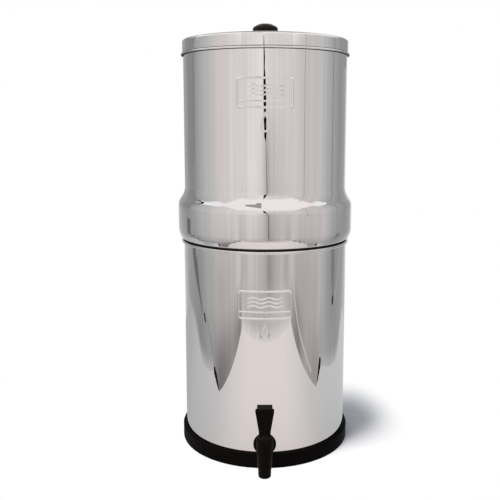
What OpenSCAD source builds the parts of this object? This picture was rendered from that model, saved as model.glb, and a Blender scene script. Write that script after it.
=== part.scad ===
// Gravity water filter: two spun stainless chambers, one standing in the other's rim,
// with filter elements on the upper chamber's floor and a lever tap at the foot.
// The origin is the centre of the base ring's underside, +Z is up and the tap points to -Y.

/* [Lower chamber] */
// Outside diameter of the lower chamber
chamber_d = 240; // [210:1:280]
// Height of the lower chamber, from its bottom to the crest of its rim
chamber_h = 300; // [240:1:360]
// Thickness of the sheet that both chambers are spun from
sheet_t = 0.8; // [0.6:0.1:1.2]
// Outside fillet between the lower chamber's wall and its bottom
bottom_r = 9; // [5:1:14]
// Rise of the pressed middle of the lower chamber's bottom
dish_rise = 1.5; // [0.5:0.1:3]
// Distance from the wall to the pressed middle of the bottom
dish_in = 24; // [20:1:40]
// Outside diameter of the rolled rims of both chambers
rim_d = 4.2; // [3.4:0.1:5.6]

/* [Upper chamber] */
// Outside diameter of the upper chamber's straight wall
upper_d = 236; // [210:1:244]
// Height of the upper chamber above the lower one's rim
upper_h = 282.7; // [275:0.1:360]
// Depth of the neck that stands inside the lower chamber
neck_h = 19; // [12:1:30]
// Radial clearance between the neck and the lower chamber
neck_gap = 0.8; // [0.3:0.1:2]
// Width of the shoulder, from the neck to the foot of the bulge
shoulder_w = 4.6; // [4:0.1:8]
// Diameter of the bulge above the shoulder
bulge_d = 255.2; // [250:0.1:270]
// Height of the bulge's tapered foot
bulge_foot_h = 12.7; // [8:0.1:20]
// Height of the bulge's upright wall, with its foot
bulge_h = 51.4; // [40:0.1:80]
// Height of the flare from the bulge in to the straight wall
flare_h = 18.8; // [16:0.1:30]
// Fillet between the upper chamber's neck and its floor
floor_r = 7; // [4:1:12]
// Fillet between the neck and the shoulder
shoulder_in_r = 1.5; // [1:0.1:3]
// Fillet between the shoulder and the foot of the bulge
shoulder_out_r = 3.5; // [2:0.1:4]
// Fillet between the foot of the bulge and its upright wall
bulge_foot_r = 25; // [10:1:32]
// Fillet between the bulge's upright wall and the flare
bulge_top_r = 22; // [10:1:28]
// Fillet between the flare and the straight wall
flare_r = 40; // [20:1:46]

/* [Lid] */
// Thickness of the lid's sheet
lid_t = 0.7; // [0.5:0.1:1]
// Radial clearance between the lid's skirt and the upper chamber
lid_gap = 0.6; // [0.4:0.1:2]
// Height of the lid's skirt
lid_h = 22; // [16:1:34]
// Rise of the lid's crowned middle
lid_crown = 2; // [1:0.1:5]
// Fillet between the lid's top and its skirt
lid_edge_r = 3; // [2:0.5:6]
// Diameter of the bead rolled at the skirt's lower edge
bead_d = 2.6; // [2.2:0.1:4]

/* [Lid knob] */
// Diameter of the knob's head
knob_d = 36.5; // [28:0.5:50]
// Height of the knob's head
knob_head_h = 11; // [8:0.5:16]
// Diameter of the knob's neck
knob_neck_d = 17; // [13:0.5:22]
// Height of the knob's neck
knob_neck_h = 10.4; // [8:0.1:18]
// Thickness of the washer under the knob
knob_washer_t = 1; // [0.6:0.1:2]
// Diameter of the screw that holds the knob
knob_screw_d = 5; // [4:0.5:6]

/* [Base ring] */
// Height of the rubber base ring
base_h = 20.3; // [16:0.1:30]
// Thickness of the ring's upright wall
base_wall_t = 4.9; // [3:0.1:8]
// Thickness of the web that the chamber stands on
base_web_t = 5; // [3:0.5:8]
// Width of that web, inwards from the chamber's wall
base_web_w = 20; // [16:1:30]
// Fillet round the ring's upper outer edge
base_edge_r = 1.8; // [0.5:0.1:3]

/* [Filter elements] */
// Diameter of a filter element
element_d = 69; // [56:1:76]
// Height of a filter element
element_h = 230; // [160:1:250]
// Diameter of the element's hollow core
core_d = 30; // [20:1:36]
// Radius of the circle that the floor's four holes lie on
hole_circle_r = 58; // [54:1:64]
// Diameter of the threaded stems that pass through the floor
post_d = 11; // [9:0.5:13]
// Diameter of the water passage in an element's stem
post_bore_d = 5; // [3:0.5:6]
// Length of an element's stem below the floor
post_h = 34; // [26:1:44]
// Length of a blanking plug's stem below the floor
plug_post_h = 21; // [19:1:30]
// Radial clearance between a stem and its hole in the floor
post_gap = 0.7; // [0.3:0.1:1.5]
// Thickness of the sealing washers on the floor
seal_t = 3; // [2:0.5:5]
// Diameter of the wing nuts' hubs
wing_hub_d = 19; // [17:0.5:24]
// Span of the wing nuts across their wings
wing_span = 36; // [32:1:44]

/* [Tap body] */
// Height of the tap's shank above the lower chamber's bottom
shank_h = 30.2; // [28:0.1:50]
// Distance from the chamber's wall to the tap's upright axis
tap_reach = 45; // [38:1:60]
// Diameter of the tap's body
tap_d = 21.8; // [20.6:0.2:26]
// Height of the tap's body above the shank's axis
body_up = 22.8; // [20:0.1:30]
// Length of the spout below the shank's axis
spout_drop = 25.5; // [22:0.1:30]
// Diameter of the spout
spout_d = 15; // [13:0.5:17]
// Diameter of the spout's bore
spout_bore_d = 9; // [7:0.5:10]
// Diameter of the valve's bore above the seat
valve_d = 15.2; // [14.6:0.2:16.6]
// Distance of the valve's seat below the shank's axis
seat_drop = 8.2; // [7:0.1:10]
// Diameter of the shank that passes through the wall
shank_d = 15.8; // [13:0.2:18]
// Diameter of the shank's bore
shank_bore_d = 10; // [7:0.5:11]
// Diameter of the flange that clamps the outer washer
flange_d = 28.8; // [24:0.2:29]
// Thickness of that flange
flange_t = 3.5; // [2.5:0.5:6]
// Thickness of the two rubber washers at the wall
wall_washer_t = 2.5; // [2:0.1:4]
// Width across the flats of the nut inside the chamber
nut_af = 24; // [22:1:30]
// Thickness of that nut
nut_t = 8; // [6:0.5:12]
// Radial clearance that stands for a thread
thread_gap = 0.05; // [0.02:0.01:0.1]

/* [Tap valve] */
// Height of the bonnet above the body
bonnet_h = 6.7; // [5:0.1:10]
// Depth of the bonnet's threaded plug inside the body
bonnet_plug_h = 7; // [5:0.5:9]
// Diameter of the valve's stem
stem_d = 5; // [4:0.2:6]
// Radial clearance of the stem in the bonnet
stem_gap = 0.1; // [0.05:0.01:0.1]
// Diameter of the silicone seat cup
cup_d = 13.2; // [12.6:0.2:14]
// Height of the seat cup
cup_h = 7; // [6:0.5:8]
// Diameter of the spring's wire
wire_d = 0.9; // [0.6:0.1:1.1]
// Number of the spring's turns
spring_turns = 7; // [5:1:9]

/* [Tap handle] */
// Diameter of the pin that joins the handle to the stem
pin_d = 3; // [2:0.1:3.4]
// Radial clearance of the pin in the stem's eye
pin_gap = 0.05; // [0.02:0.01:0.1]
// Radius of the cam's two rounds
cam_r = 4.85; // [4.4:0.05:5.5]
// Distance that the cam's front round stands before the pin
cam_throw = 5; // [4:0.1:6]
// Clearance between the cam and the bonnet, with the tap shut
cam_gap = 0.15; // [0.1:0.05:0.3]
// Thickness of the stem's eye
eye_t = 5; // [4:0.1:6]
// Thickness of each of the handle's ears
ear_t = 3.6; // [2.5:0.1:4.5]
// Clearance on each side of the stem's eye
ear_gap = 0.3; // [0.2:0.1:0.6]
// Height of the handle's top above the pin
lever_h = 37.2; // [28:0.1:50]
// Width of the handle's front plate at its foot
plate_foot_w = 15; // [14.8:0.1:20]
// Width of the front plate near its top
plate_top_w = 24.8; // [22:0.1:34]
// Thickness of the front plate
plate_t = 3; // [2:0.1:4]
// Width of the hollow box behind the plate, at its top
lever_box_w = 20.4; // [18:0.1:30]
// Depth of the handle from front to back, at its top
lever_depth = 17; // [15:0.5:22]
// Thickness of the walls of that box
lever_wall_t = 2; // [1.2:0.1:2.6]

/* [Hidden] */
$fn = 96;
wall_fn = 720;          // finer rounds where a small piece follows a chamber's wall
arc_step = 10;          // largest turn of one facet of a spun fillet, in degrees
arc_length = 3;         // largest length of such a facet
rest_gap = 0.3;         // vertical gap under a part that only stands on another
cut = 1;                // how far a cutter runs past the face that it cuts

steel = [0.78, 0.77, 0.77];
black = [0.05, 0.05, 0.05];
rubber = [0.09, 0.09, 0.09];
clear_silicone = [0.85, 0.85, 0.82];

// Chambers, from the table up
chamber_r = chamber_d / 2;
chamber_z = base_web_t;
rim_z = chamber_z + chamber_h;
roll_r = rim_d / 2 - 0.05;              // outside fillet of a rolled rim's corners
shoulder_z = rim_z + rest_gap;
neck_r = chamber_r - sheet_t - neck_gap;
floor_z = shoulder_z - neck_h;
floor_top_z = floor_z + sheet_t;
cap_z = floor_top_z + seal_t;           // what stands on a sealing washer
cap_floor_t = 4;                        // thickness of an end cap under its element
bulge_r = bulge_d / 2;
flare_z = shoulder_z + bulge_h;
upper_r = upper_d / 2;
upper_top_z = shoulder_z + upper_h - rest_gap;
lid_edge_z = upper_top_z + rest_gap + lid_t;
lid_r = upper_r + lid_gap + lid_t;
lid_mid_z = lid_edge_z + lid_crown;
knob_z = lid_mid_z + knob_washer_t;
screw_in = 8;                           // how far the knob's screw reaches into the knob

// Tap, from the shank
tap_y = -chamber_r - tap_reach;
shank_z = chamber_z + shank_h;
seat_z = shank_z - seat_drop;
spout_z = shank_z - spout_drop;
body_top_z = shank_z + body_up;
bonnet_top_z = body_top_z + bonnet_h;
pin_z = bonnet_top_z + cam_gap + cam_r;
flange_y = -chamber_r - wall_washer_t;  // face of the flange that meets the outer washer
nut_y = -chamber_r + sheet_t + wall_washer_t;
nut_flange_d = nut_af / cos(30) + 1.2;  // the nut's flange just covers its six corners
shank_end_y = nut_y + nut_t + 3;
cup_top_z = seat_z + cup_h;
spring_seat_t = 2;
spring_seat_d = cup_d - 1.2;
spring_z = cup_top_z + spring_seat_t;
bonnet_wall_t = 3.5;                    // thickness of the bonnet over the spring's pocket
spring_top_z = bonnet_top_z - bonnet_wall_t;
coil_gap = 0.7;                         // between the stem and the inside of the coils
coil_r = stem_d / 2 + coil_gap + wire_d / 2;
pocket_r = coil_r + wire_d / 2 + 0.5;

// Handle, round the pin
lever_front_y = tap_y - cam_throw - cam_r;
lever_foot_depth = cam_throw + 2 * cam_r;
lever_back_y = lever_front_y + lever_depth;
lever_top_z = pin_z + lever_h;
ear_in_x = max(eye_t, stem_d) / 2 + ear_gap;
ear_out_x = ear_in_x + ear_t;
ear_top_z = pin_z + cam_r + 3.5;        // the ears end here and the box begins
plate_foot_z = pin_z + 0.5;

// Spun profiles. A corner is [radius, height, fillet], and sheets lie to the left of their path.
function heading(p, i) =
  let (v = [p[i + 1].x - p[i].x, p[i + 1].y - p[i].y]) v / norm(v);
function left_of(v) = [-v.y, v.x];
function turn_side(a, b) = sign(a.x * b.y - a.y * b.x);
function rotated(v, a) = [v.x * cos(a) - v.y * sin(a), v.x * sin(a) + v.y * cos(a)];
function bent_corner(p, i) =
  let (a = heading(p, i - 1), b = heading(p, i), turn = acos(a * b), side = turn_side(a, b),
       start = [p[i].x, p[i].y] - a * p[i].z * tan(turn / 2),
       centre = start + side * p[i].z * left_of(a),
       steps = ceil(max(turn / arc_step, turn / 180 * PI * p[i].z / arc_length)))
  [for (k = [0:steps]) centre - rotated(side * p[i].z * left_of(a), side * turn * k / steps)];
function bent(p) = [for (i = [0:len(p) - 1])
  let (plain = i == 0 || i == len(p) - 1 || p[i].z <= 0)
  each (plain ? [[p[i].x, p[i].y]] : bent_corner(p, i))];
function shifted(p, t) = [for (i = [0:len(p) - 1])
  let (a = heading(p, max(i - 1, 0)), b = heading(p, min(i, len(p) - 2)),
       m = (left_of(a) + left_of(b)) / (1 + left_of(a) * left_of(b)))
  [p[i].x + t * m.x, p[i].y + t * m.y, p[i].z > 0 ? p[i].z - t * turn_side(a, b) : 0]];
function reversed(p) = [for (i = [len(p) - 1:-1:0]) p[i]];

// A sheet of thickness t spun round the axis, on the left of the path
module spun_sheet(path, t)
  rotate_extrude() polygon(concat(bent(path), reversed(bent(shifted(path, t)))));

// A solid spun round the axis inside a path that starts and ends at the radius r
module spun_solid(path, r = 0)
  rotate_extrude() polygon(concat([[r, path[0].y]], bent(path), [[r, path[len(path) - 1].y]]));

// A flat ring
module ring(d, hole_d, t) difference() {
  cylinder(h = t, d = d);
  translate([0, 0, -cut]) cylinder(h = t + 2 * cut, d = hole_d);
}

// Places its children at one of the four holes in the upper chamber's floor
module at_hole(turn) rotate(turn) translate([hole_circle_r, 0, 0]) children();

// Puts a part that is modelled along +Z on the tap's shank, pointing into the chamber
module on_shank(y) translate([0, y, shank_z]) rotate([-90, 0, 0]) children();

module base_ring() color(rubber) {
  gap = 0.1;                            // the ring's wall stands this far off the chamber
  wall_r = chamber_r + gap;
  out_r = wall_r + base_wall_t;
  web_r = chamber_r - base_web_w;
  path = [[web_r, 0, 0], [out_r, 0, base_edge_r / 2], [out_r, base_h, base_edge_r],
    [wall_r, base_h, 0], [wall_r, base_web_t, 0], [web_r, base_web_t, 0]];
  rotate_extrude() polygon(bent(path));
}

module lower_chamber() color(steel) difference() {
  dish_r = chamber_r - dish_in;
  step_w = 3;                           // width of the step round the pressed middle
  step_r = 5;                           // fillet at its head and its foot
  curl_in = roll_r - sheet_t;
  curl_w = rim_d - 2 * sheet_t;
  hole_gap = 0.3;                       // between the tap's shank and its hole
  spun_sheet([
    [0, chamber_z + dish_rise, 0],
    [dish_r - step_w, chamber_z + dish_rise, step_r],
    [dish_r, chamber_z, step_r],
    [chamber_r, chamber_z, bottom_r],
    [chamber_r, rim_z - sheet_t, curl_in],
    [chamber_r + curl_w, rim_z - sheet_t, curl_in],
    [chamber_r + curl_w, rim_z - sheet_t - curl_w, curl_in],
    [chamber_r + curl_w / 2, rim_z - sheet_t - curl_w, 0]], sheet_t);
  on_shank(-chamber_r - cut) cylinder(h = sheet_t + 3 * cut, d = shank_d + 2 * hole_gap);
}

module upper_chamber() color(steel) difference() {
  curl_w = rim_d;
  spun_sheet([
    [0, floor_z, 0],
    [neck_r, floor_z, floor_r],
    [neck_r, shoulder_z, shoulder_in_r],
    [neck_r + shoulder_w, shoulder_z, shoulder_out_r],
    [bulge_r, shoulder_z + bulge_foot_h, bulge_foot_r],
    [bulge_r, flare_z, bulge_top_r],
    [upper_r, flare_z + flare_h, flare_r],
    [upper_r, upper_top_z, roll_r],
    [upper_r - curl_w, upper_top_z, roll_r],
    [upper_r - curl_w, upper_top_z - curl_w, roll_r],
    [upper_r - curl_w / 2, upper_top_z - curl_w, 0]], sheet_t);
  for (turn = [0:90:270]) at_hole(turn)
    translate([0, 0, floor_z - cut]) cylinder(h = sheet_t + 2 * cut, d = post_d + 2 * post_gap);
}

module lid() color(steel) {
  flat = 0.02;                          // between the two rounds of the bead
  bead_in = bead_d / 2 - lid_t;
  bead_w = bead_d - 2 * lid_t + flat;
  skirt_z = lid_edge_z - lid_h;
  crown_r = lid_r / 2;                  // the crown's slope ends here, in a wide round
  crown_round = 1200;
  hole_gap = 0.2;                       // between the knob's screw and its hole
  spun_sheet([
    [lid_r + bead_w / 2, skirt_z + lid_t + bead_w, 0],
    [lid_r + bead_w, skirt_z + lid_t + bead_w, bead_in],
    [lid_r + bead_w, skirt_z + lid_t, bead_in],
    [lid_r, skirt_z + lid_t, bead_in],
    [lid_r, lid_edge_z, lid_edge_r],
    [crown_r, lid_mid_z, crown_round],
    [knob_screw_d / 2 + hole_gap, lid_mid_z, 0]], lid_t);
}

module lid_knob() color(black) {
  head_z = knob_z + knob_neck_h;
  top_z = head_z + knob_head_h;
  foot_w = 1.5;                         // how far the neck spreads at its foot
  foot_h = 3;                           // height of that spread
  edge_drop = knob_head_h * 0.45;       // from the head's top to its edge
  difference() {
    spun_solid([
      [knob_neck_d / 2 + foot_w, knob_z, foot_w / 2],
      [knob_neck_d / 2, knob_z + foot_h, foot_h],
      [knob_neck_d / 2, head_z, 2],
      [knob_d / 2, head_z, 2.2],
      [knob_d / 2, top_z - edge_drop, edge_drop],
      [knob_d / 4, top_z, knob_d / 4],
      [0, top_z, 0]]);
    translate([0, 0, knob_z - cut]) cylinder(h = screw_in + 1 + cut, d = knob_screw_d);
  }
}

module lid_knob_washer() color(rubber)
  translate([0, 0, lid_mid_z]) ring(knob_neck_d + 3, knob_screw_d + 0.4, knob_washer_t);

// The screw from inside the lid, with its head and a washer in one
module lid_knob_screw() color(steel) {
  under_z = lid_mid_z - lid_t;
  head_r = knob_screw_d * 0.85;
  head_h = 2;
  washer_r = knob_screw_d * 1.3;
  washer_h = 1;
  translate([0, 0, under_z]) cylinder(h = knob_z + screw_in - under_z, d = knob_screw_d);
  spun_solid([[head_r, under_z - washer_h - head_h, 1.2], [head_r, under_z - washer_h, 0],
    [washer_r, under_z - washer_h, 0], [washer_r, under_z, 0]]);
}

// A porous candle with a domed top and a hollow core, standing in its base
module filter_element(turn) color(black) at_hole(turn) {
  foot_z = cap_z + cap_floor_t;
  r = element_d / 2;
  dome_r = 10;
  roof_t = 18;                          // thickness of the element over its core
  difference() {
    spun_solid([[r, foot_z, 0], [r, foot_z + element_h, dome_r], [0, foot_z + element_h, 0]]);
    translate([0, 0, foot_z - cut]) cylinder(h = element_h - roof_t + cut, d = core_d);
  }
}

// The moulded end cap of an element, with the threaded stem that carries it
module filter_base(turn) color(black) at_hole(turn) {
  rim_gap = 0.1;                        // between the element and the cap's rim
  rim_t = 1.6;
  rim_top_z = cap_z + 12;
  in_r = element_d / 2 + rim_gap;
  post_z = floor_z - post_h;
  difference() {
    union() {
      spun_solid([[in_r + rim_t, cap_z, 1.5], [in_r + rim_t, rim_top_z, 0.5], [in_r, rim_top_z, 0],
        [in_r, cap_z + cap_floor_t, 0], [0, cap_z + cap_floor_t, 0]]);
      translate([0, 0, post_z]) cylinder(h = cap_z - post_z + cut, d = post_d);
    }
    translate([0, 0, post_z - cut])
      cylinder(h = cap_z + cap_floor_t - post_z + 2 * cut, d = post_bore_d);
  }
}

// The rubber washer that seals a stem's hole from above
module floor_washer(turn) color(rubber) at_hole(turn) {
  rim_w = 8.5;
  play = 0.1;                           // between the washer and the stem
  translate([0, 0, floor_top_z]) ring(post_d + 2 * rim_w, post_d + 2 * play, seal_t);
}

// A nut with two upright wings, tightened by hand against the floor's underside
module wing_nut(turn) color(black) at_hole(turn) {
  hub_h = 9;
  flange_h = 2;
  flange_w = 2;                         // how far the flange stands out from the hub
  wing_t = 3;
  wing_h = 14;                          // reach of the wings below the flange
  tip_w = 6;
  hub_r = wing_hub_d / 2;
  tip_x = wing_span / 2;
  right = [[hub_r - 1, 0], [tip_x, 4 - wing_h], [tip_x, 1 - wing_h], [tip_x - 2, -wing_h],
    [tip_x - tip_w, -wing_h], [hub_r, 3 - hub_h]];
  difference() {
    union() {
      translate([0, 0, floor_z - flange_h]) cylinder(h = flange_h, d = wing_hub_d + 2 * flange_w);
      translate([0, 0, floor_z - hub_h]) cylinder(h = hub_h, d = wing_hub_d);
      translate([0, wing_t / 2, floor_z - flange_h]) rotate([90, 0, 0]) linear_extrude(wing_t)
        polygon(concat(right, [for (p = reversed(right)) [-p.x, p.y]]));
    }
    translate([0, 0, floor_z - hub_h - cut])
      cylinder(h = hub_h + 2 * cut, d = post_d + 2 * thread_gap);
  }
}

// The plug that closes a hole where no element stands
module hole_plug(turn) color(black) at_hole(turn) {
  head_r = post_d / 2 + 6;
  head_h = 4.5;
  spun_solid([[post_d / 2, floor_z - plug_post_h, 0.8], [post_d / 2, cap_z, 0],
    [head_r, cap_z, 0.6], [head_r, cap_z + head_h, 1.5], [0, cap_z + head_h, 0]]);
}

// The tap's moulding: spout, valve body, arm, flange and threaded shank in one
module tap_body() color(black) difference() {
  arm_d = shank_d + 0.6;
  spout_top_z = shank_z - 14.5;         // a small step parts the spout from the body
  step_w = 1.3;
  step_h = 2;
  taper_top_z = shank_z + 8;            // the body widens up to here
  bevel_w = 2;
  bevel_h = 1.5;
  union() {
    translate([0, tap_y, 0]) spun_solid([
      [spout_d / 2, spout_z, 1], [spout_d / 2, spout_top_z, 1],
      [spout_d / 2 + step_w, spout_top_z + step_h, 1], [tap_d / 2, taper_top_z, 6],
      [tap_d / 2, body_top_z, 0.6], [0, body_top_z, 0]]);
    on_shank(tap_y) cylinder(h = flange_y - tap_y - flange_t + cut, d = arm_d);
    on_shank(flange_y - flange_t) spun_solid([[flange_d / 2 - bevel_w, 0, 0],
      [flange_d / 2, bevel_h, 0.8], [flange_d / 2, flange_t, 0]]);
    on_shank(flange_y - cut) cylinder(h = shank_end_y - flange_y + cut, d = shank_d);
  }
  translate([0, tap_y, seat_z]) cylinder(h = body_top_z - seat_z + cut, d = valve_d);
  translate([0, tap_y, spout_z - cut]) cylinder(h = seat_z - spout_z + 2 * cut, d = spout_bore_d);
  on_shank(tap_y) cylinder(h = shank_end_y - tap_y + cut, d = shank_bore_d);
}

// The cap that closes the valve, guides the stem and carries the cam
module tap_bonnet() color(black) {
  plug_r = valve_d / 2 - thread_gap;
  plug_z = body_top_z - bonnet_plug_h;
  cap_in = 0.15;                        // the cap is this much slimmer than the body
  cap_r = tap_d / 2 - cap_in;
  flutes = 18;                          // grooves for the fingers, above a plain foot
  flute_r = 1.1;
  flute_depth = 0.5;
  flute_foot = 1;
  translate([0, tap_y, 0]) difference() {
    spun_solid([
      [plug_r, plug_z, 0.6], [plug_r, body_top_z, 0],
      [cap_r, body_top_z, 0.4], [cap_r, bonnet_top_z, 1], [0, bonnet_top_z, 0]]);
    translate([0, 0, plug_z - cut]) cylinder(h = spring_top_z - plug_z + cut, r = pocket_r);
    translate([0, 0, spring_top_z - cut])
      cylinder(h = bonnet_wall_t + 2 * cut, r = stem_d / 2 + stem_gap);
    for (i = [0:flutes - 1]) rotate(360 * i / flutes)
      translate([cap_r + flute_r - flute_depth, 0, body_top_z + flute_foot])
        cylinder(h = bonnet_h, r = flute_r, $fn = 24);
  }
}

// Spigot on the stem's lower end, and the pocket that it fills in the seat cup
module spigot() {
  neck_r = 2.1;
  bulb_r = 3.3;
  bevel = 0.8;
  bulb_z = seat_z + 1.8;
  bulb_top_z = bulb_z + 3 * bevel;
  translate([0, tap_y, 0]) spun_solid([[bulb_r - bevel, bulb_z, 0], [bulb_r, bulb_z + bevel, 0],
    [bulb_r, bulb_top_z - bevel, 0], [neck_r, bulb_top_z, 0], [neck_r, cup_top_z + 0.5, 0]]);
}

// The stem that lifts the seat cup: spigot, spring seat, rod and eye
module tap_stem() color(black) difference() {
  eye_r = cam_r - 0.4;                  // so the cam, and not the eye, meets the bonnet
  union() {
    spigot();
    translate([0, tap_y, cup_top_z]) cylinder(h = spring_seat_t, d = spring_seat_d);
    translate([0, tap_y, cup_top_z]) cylinder(h = pin_z - cup_top_z, d = stem_d);
    translate([-eye_t / 2, tap_y, pin_z]) rotate([0, 90, 0]) cylinder(h = eye_t, r = eye_r);
  }
  translate([-eye_t, tap_y, pin_z]) rotate([0, 90, 0])
    cylinder(h = 2 * eye_t, r = pin_d / 2 + pin_gap, $fn = 48);
}

// The soft cup that closes the outlet
module tap_seat_cup() color(clear_silicone) difference() {
  edge_w = 0.7;
  edge_h = 1.2;
  translate([0, tap_y, 0]) spun_solid([
    [cup_d / 2 - edge_w, seat_z, 0], [cup_d / 2, seat_z + edge_h, 0.6],
    [cup_d / 2, cup_top_z - edge_h, 0.6], [cup_d / 2 - edge_w, cup_top_z, 0]]);
  spigot();
}

// Share of the spring's height reached at the share u of its wire: the end turns lie closer
function coil_rise(u) = let (closed = 1 / spring_turns, flat = 0.6)
  u < closed ? u * flat : u > 1 - closed ? 1 - (1 - u) * flat :
    closed * flat + (u - closed) * (1 - 2 * flat * closed) / (1 - 2 * closed);

// The spring between the stem and the bonnet, a swept helix of round wire with closed ends
module tap_spring() color(steel) {
  sides = 8;
  turn_steps = 16;
  play = 0.03;
  low_z = spring_z + wire_d / 2 + play;
  high_z = spring_top_z - wire_d / 2 - play;
  steps = spring_turns * turn_steps;
  points = [for (i = [0:steps], j = [0:sides - 1])
    let (u = i / steps, a = 360 * spring_turns * u, b = 360 * j / sides,
         r = coil_r + wire_d / 2 * cos(b))
    [r * cos(a), r * sin(a), low_z + (high_z - low_z) * coil_rise(u) + wire_d / 2 * sin(b)]];
  skin = [for (i = [0:steps - 1], j = [0:sides - 1]) let (k = (j + 1) % sides)
    [i * sides + j, i * sides + k, (i + 1) * sides + k, (i + 1) * sides + j]];
  ends = [[for (j = [sides - 1:-1:0]) j], [for (j = [0:sides - 1]) steps * sides + j]];
  translate([0, tap_y, 0]) polyhedron(points, concat(skin, ends));
}

// Front outline of the handle's box, drawn in by a wall, between two depths behind the plate
module lever_outline(wall, from_y, to_y) translate([0, to_y, 0]) rotate([90, 0, 0])
  linear_extrude(to_y - from_y) polygon([
    [wall - ear_out_x, ear_top_z + wall], [ear_out_x - wall, ear_top_z + wall],
    [lever_box_w / 2 - wall, lever_top_z - wall], [wall - lever_box_w / 2, lever_top_z - wall]]);

// Front outline of the plate: narrow at its foot, with its upper corners cut
module plate_outline() {
  foot = plate_foot_w / 2;
  wide = plate_top_w / 2;
  foot_h = 6;                           // the plate's foot is nearly parallel up to here
  corner_h = 3;
  right = [[foot, plate_foot_z], [foot + 0.3, plate_foot_z + foot_h],
    [wide, lever_top_z - corner_h], [wide - 0.3, lever_top_z - 0.6], [wide - 0.9, lever_top_z]];
  polygon(concat(right, [for (p = reversed(right)) [-p.x, p.y]]));
}

// One ear: two rounds about the pin and before it make the cam, with a web up to the box
module handle_ear() {
  for (y = [tap_y - cam_throw, tap_y]) translate([0, y, pin_z])
    rotate([0, 90, 0]) cylinder(h = ear_t, r = cam_r);
  translate([0, tap_y - cam_throw, pin_z - cam_r]) cube([ear_t, cam_throw, 2 * cam_r]);
  translate([0, lever_front_y, pin_z])
    cube([ear_t, lever_foot_depth, ear_top_z - pin_z + lever_wall_t]);
}

// The lever: a front plate with a hollow box behind it, on two ears whose feet are the cam
module tap_handle() color(black) difference() {
  grip_h = 8;                           // height of the box's upright back, under its top
  union() {
    for (x = [-ear_out_x, ear_out_x - ear_t]) translate([x, 0, 0]) handle_ear();
    translate([0, lever_front_y + plate_t, 0]) rotate([90, 0, 0])
      linear_extrude(plate_t) plate_outline();
    difference() {
      intersection() {
        lever_outline(0, lever_front_y + 1, lever_back_y);
        translate([-plate_top_w, 0, 0]) rotate([90, 0, 90]) linear_extrude(2 * plate_top_w)
          polygon([[lever_front_y + 1, ear_top_z], [lever_front_y + lever_foot_depth, ear_top_z],
            [lever_back_y, lever_top_z - grip_h], [lever_back_y, lever_top_z - 1],
            [lever_back_y - 1, lever_top_z], [lever_front_y + 1, lever_top_z]]);
      }
      lever_outline(lever_wall_t, lever_front_y + plate_t, lever_back_y + cut);
    }
  }
  translate([-plate_top_w, tap_y, pin_z]) rotate([0, 90, 0])
    cylinder(h = 2 * plate_top_w, d = pin_d, $fn = 48);
}

module tap_handle_pin() color(steel) translate([-ear_out_x, tap_y, pin_z])
  rotate([0, 90, 0]) cylinder(h = 2 * ear_out_x, d = pin_d, $fn = 48);

// The washer between the flange and the wall, hollowed to the wall's curve
module tap_outer_washer() color(rubber) difference() {
  on_shank(flange_y) ring(flange_d, shank_d, wall_washer_t + 2 * cut);
  cylinder(h = rim_z, r = chamber_r, $fn = wall_fn);
}

// The washer behind the wall, crowned to the wall's curve
module tap_inner_washer() color(rubber) intersection() {
  on_shank(-chamber_r) ring(nut_flange_d, shank_d, nut_y + chamber_r);
  cylinder(h = rim_z, r = chamber_r - sheet_t, $fn = wall_fn);
}

// The flanged hexagon nut inside the chamber
module tap_nut() color(black) on_shank(nut_y) difference() {
  nut_flange_t = 1.5;
  union() {
    cylinder(h = nut_t, d = nut_af / cos(30), $fn = 6);
    cylinder(h = nut_flange_t, d = nut_flange_d);
  }
  translate([0, 0, -cut]) cylinder(h = nut_t + 2 * cut, d = shank_d + 2 * thread_gap);
}

base_ring();
lower_chamber();
upper_chamber();
lid();
lid_knob();
lid_knob_washer();
lid_knob_screw();
filter_element(0);  // filter_element_1
filter_element(180);  // filter_element_2
filter_base(0);  // filter_base_1
filter_base(180);  // filter_base_2
floor_washer(0);  // filter_washer_1
floor_washer(180);  // filter_washer_2
wing_nut(0);  // filter_wing_nut_1
wing_nut(180);  // filter_wing_nut_2
hole_plug(90);  // hole_plug_1
hole_plug(270);  // hole_plug_2
floor_washer(90);  // hole_plug_washer_1
floor_washer(270);  // hole_plug_washer_2
wing_nut(90);  // hole_plug_wing_nut_1
wing_nut(270);  // hole_plug_wing_nut_2
tap_body();
tap_bonnet();
tap_stem();
tap_seat_cup();
tap_spring();
tap_handle();
tap_handle_pin();
tap_outer_washer();
tap_inner_washer();
tap_nut();
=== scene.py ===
import math

import bpy
from mathutils import Matrix, Vector


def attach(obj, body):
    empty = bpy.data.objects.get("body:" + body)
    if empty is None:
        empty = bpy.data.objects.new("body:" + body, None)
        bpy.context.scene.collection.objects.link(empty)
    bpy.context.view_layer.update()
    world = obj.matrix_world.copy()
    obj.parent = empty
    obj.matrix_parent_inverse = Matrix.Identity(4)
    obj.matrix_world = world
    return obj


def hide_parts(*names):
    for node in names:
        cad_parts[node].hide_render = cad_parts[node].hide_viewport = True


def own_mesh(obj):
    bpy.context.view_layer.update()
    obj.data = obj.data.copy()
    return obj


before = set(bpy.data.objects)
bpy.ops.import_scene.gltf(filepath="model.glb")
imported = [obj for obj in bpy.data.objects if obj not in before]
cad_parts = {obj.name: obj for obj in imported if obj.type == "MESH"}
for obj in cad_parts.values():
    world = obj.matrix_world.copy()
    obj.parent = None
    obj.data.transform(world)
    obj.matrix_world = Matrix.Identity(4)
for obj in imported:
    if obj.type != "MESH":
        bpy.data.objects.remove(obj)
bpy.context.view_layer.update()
mm = 0.001

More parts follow.
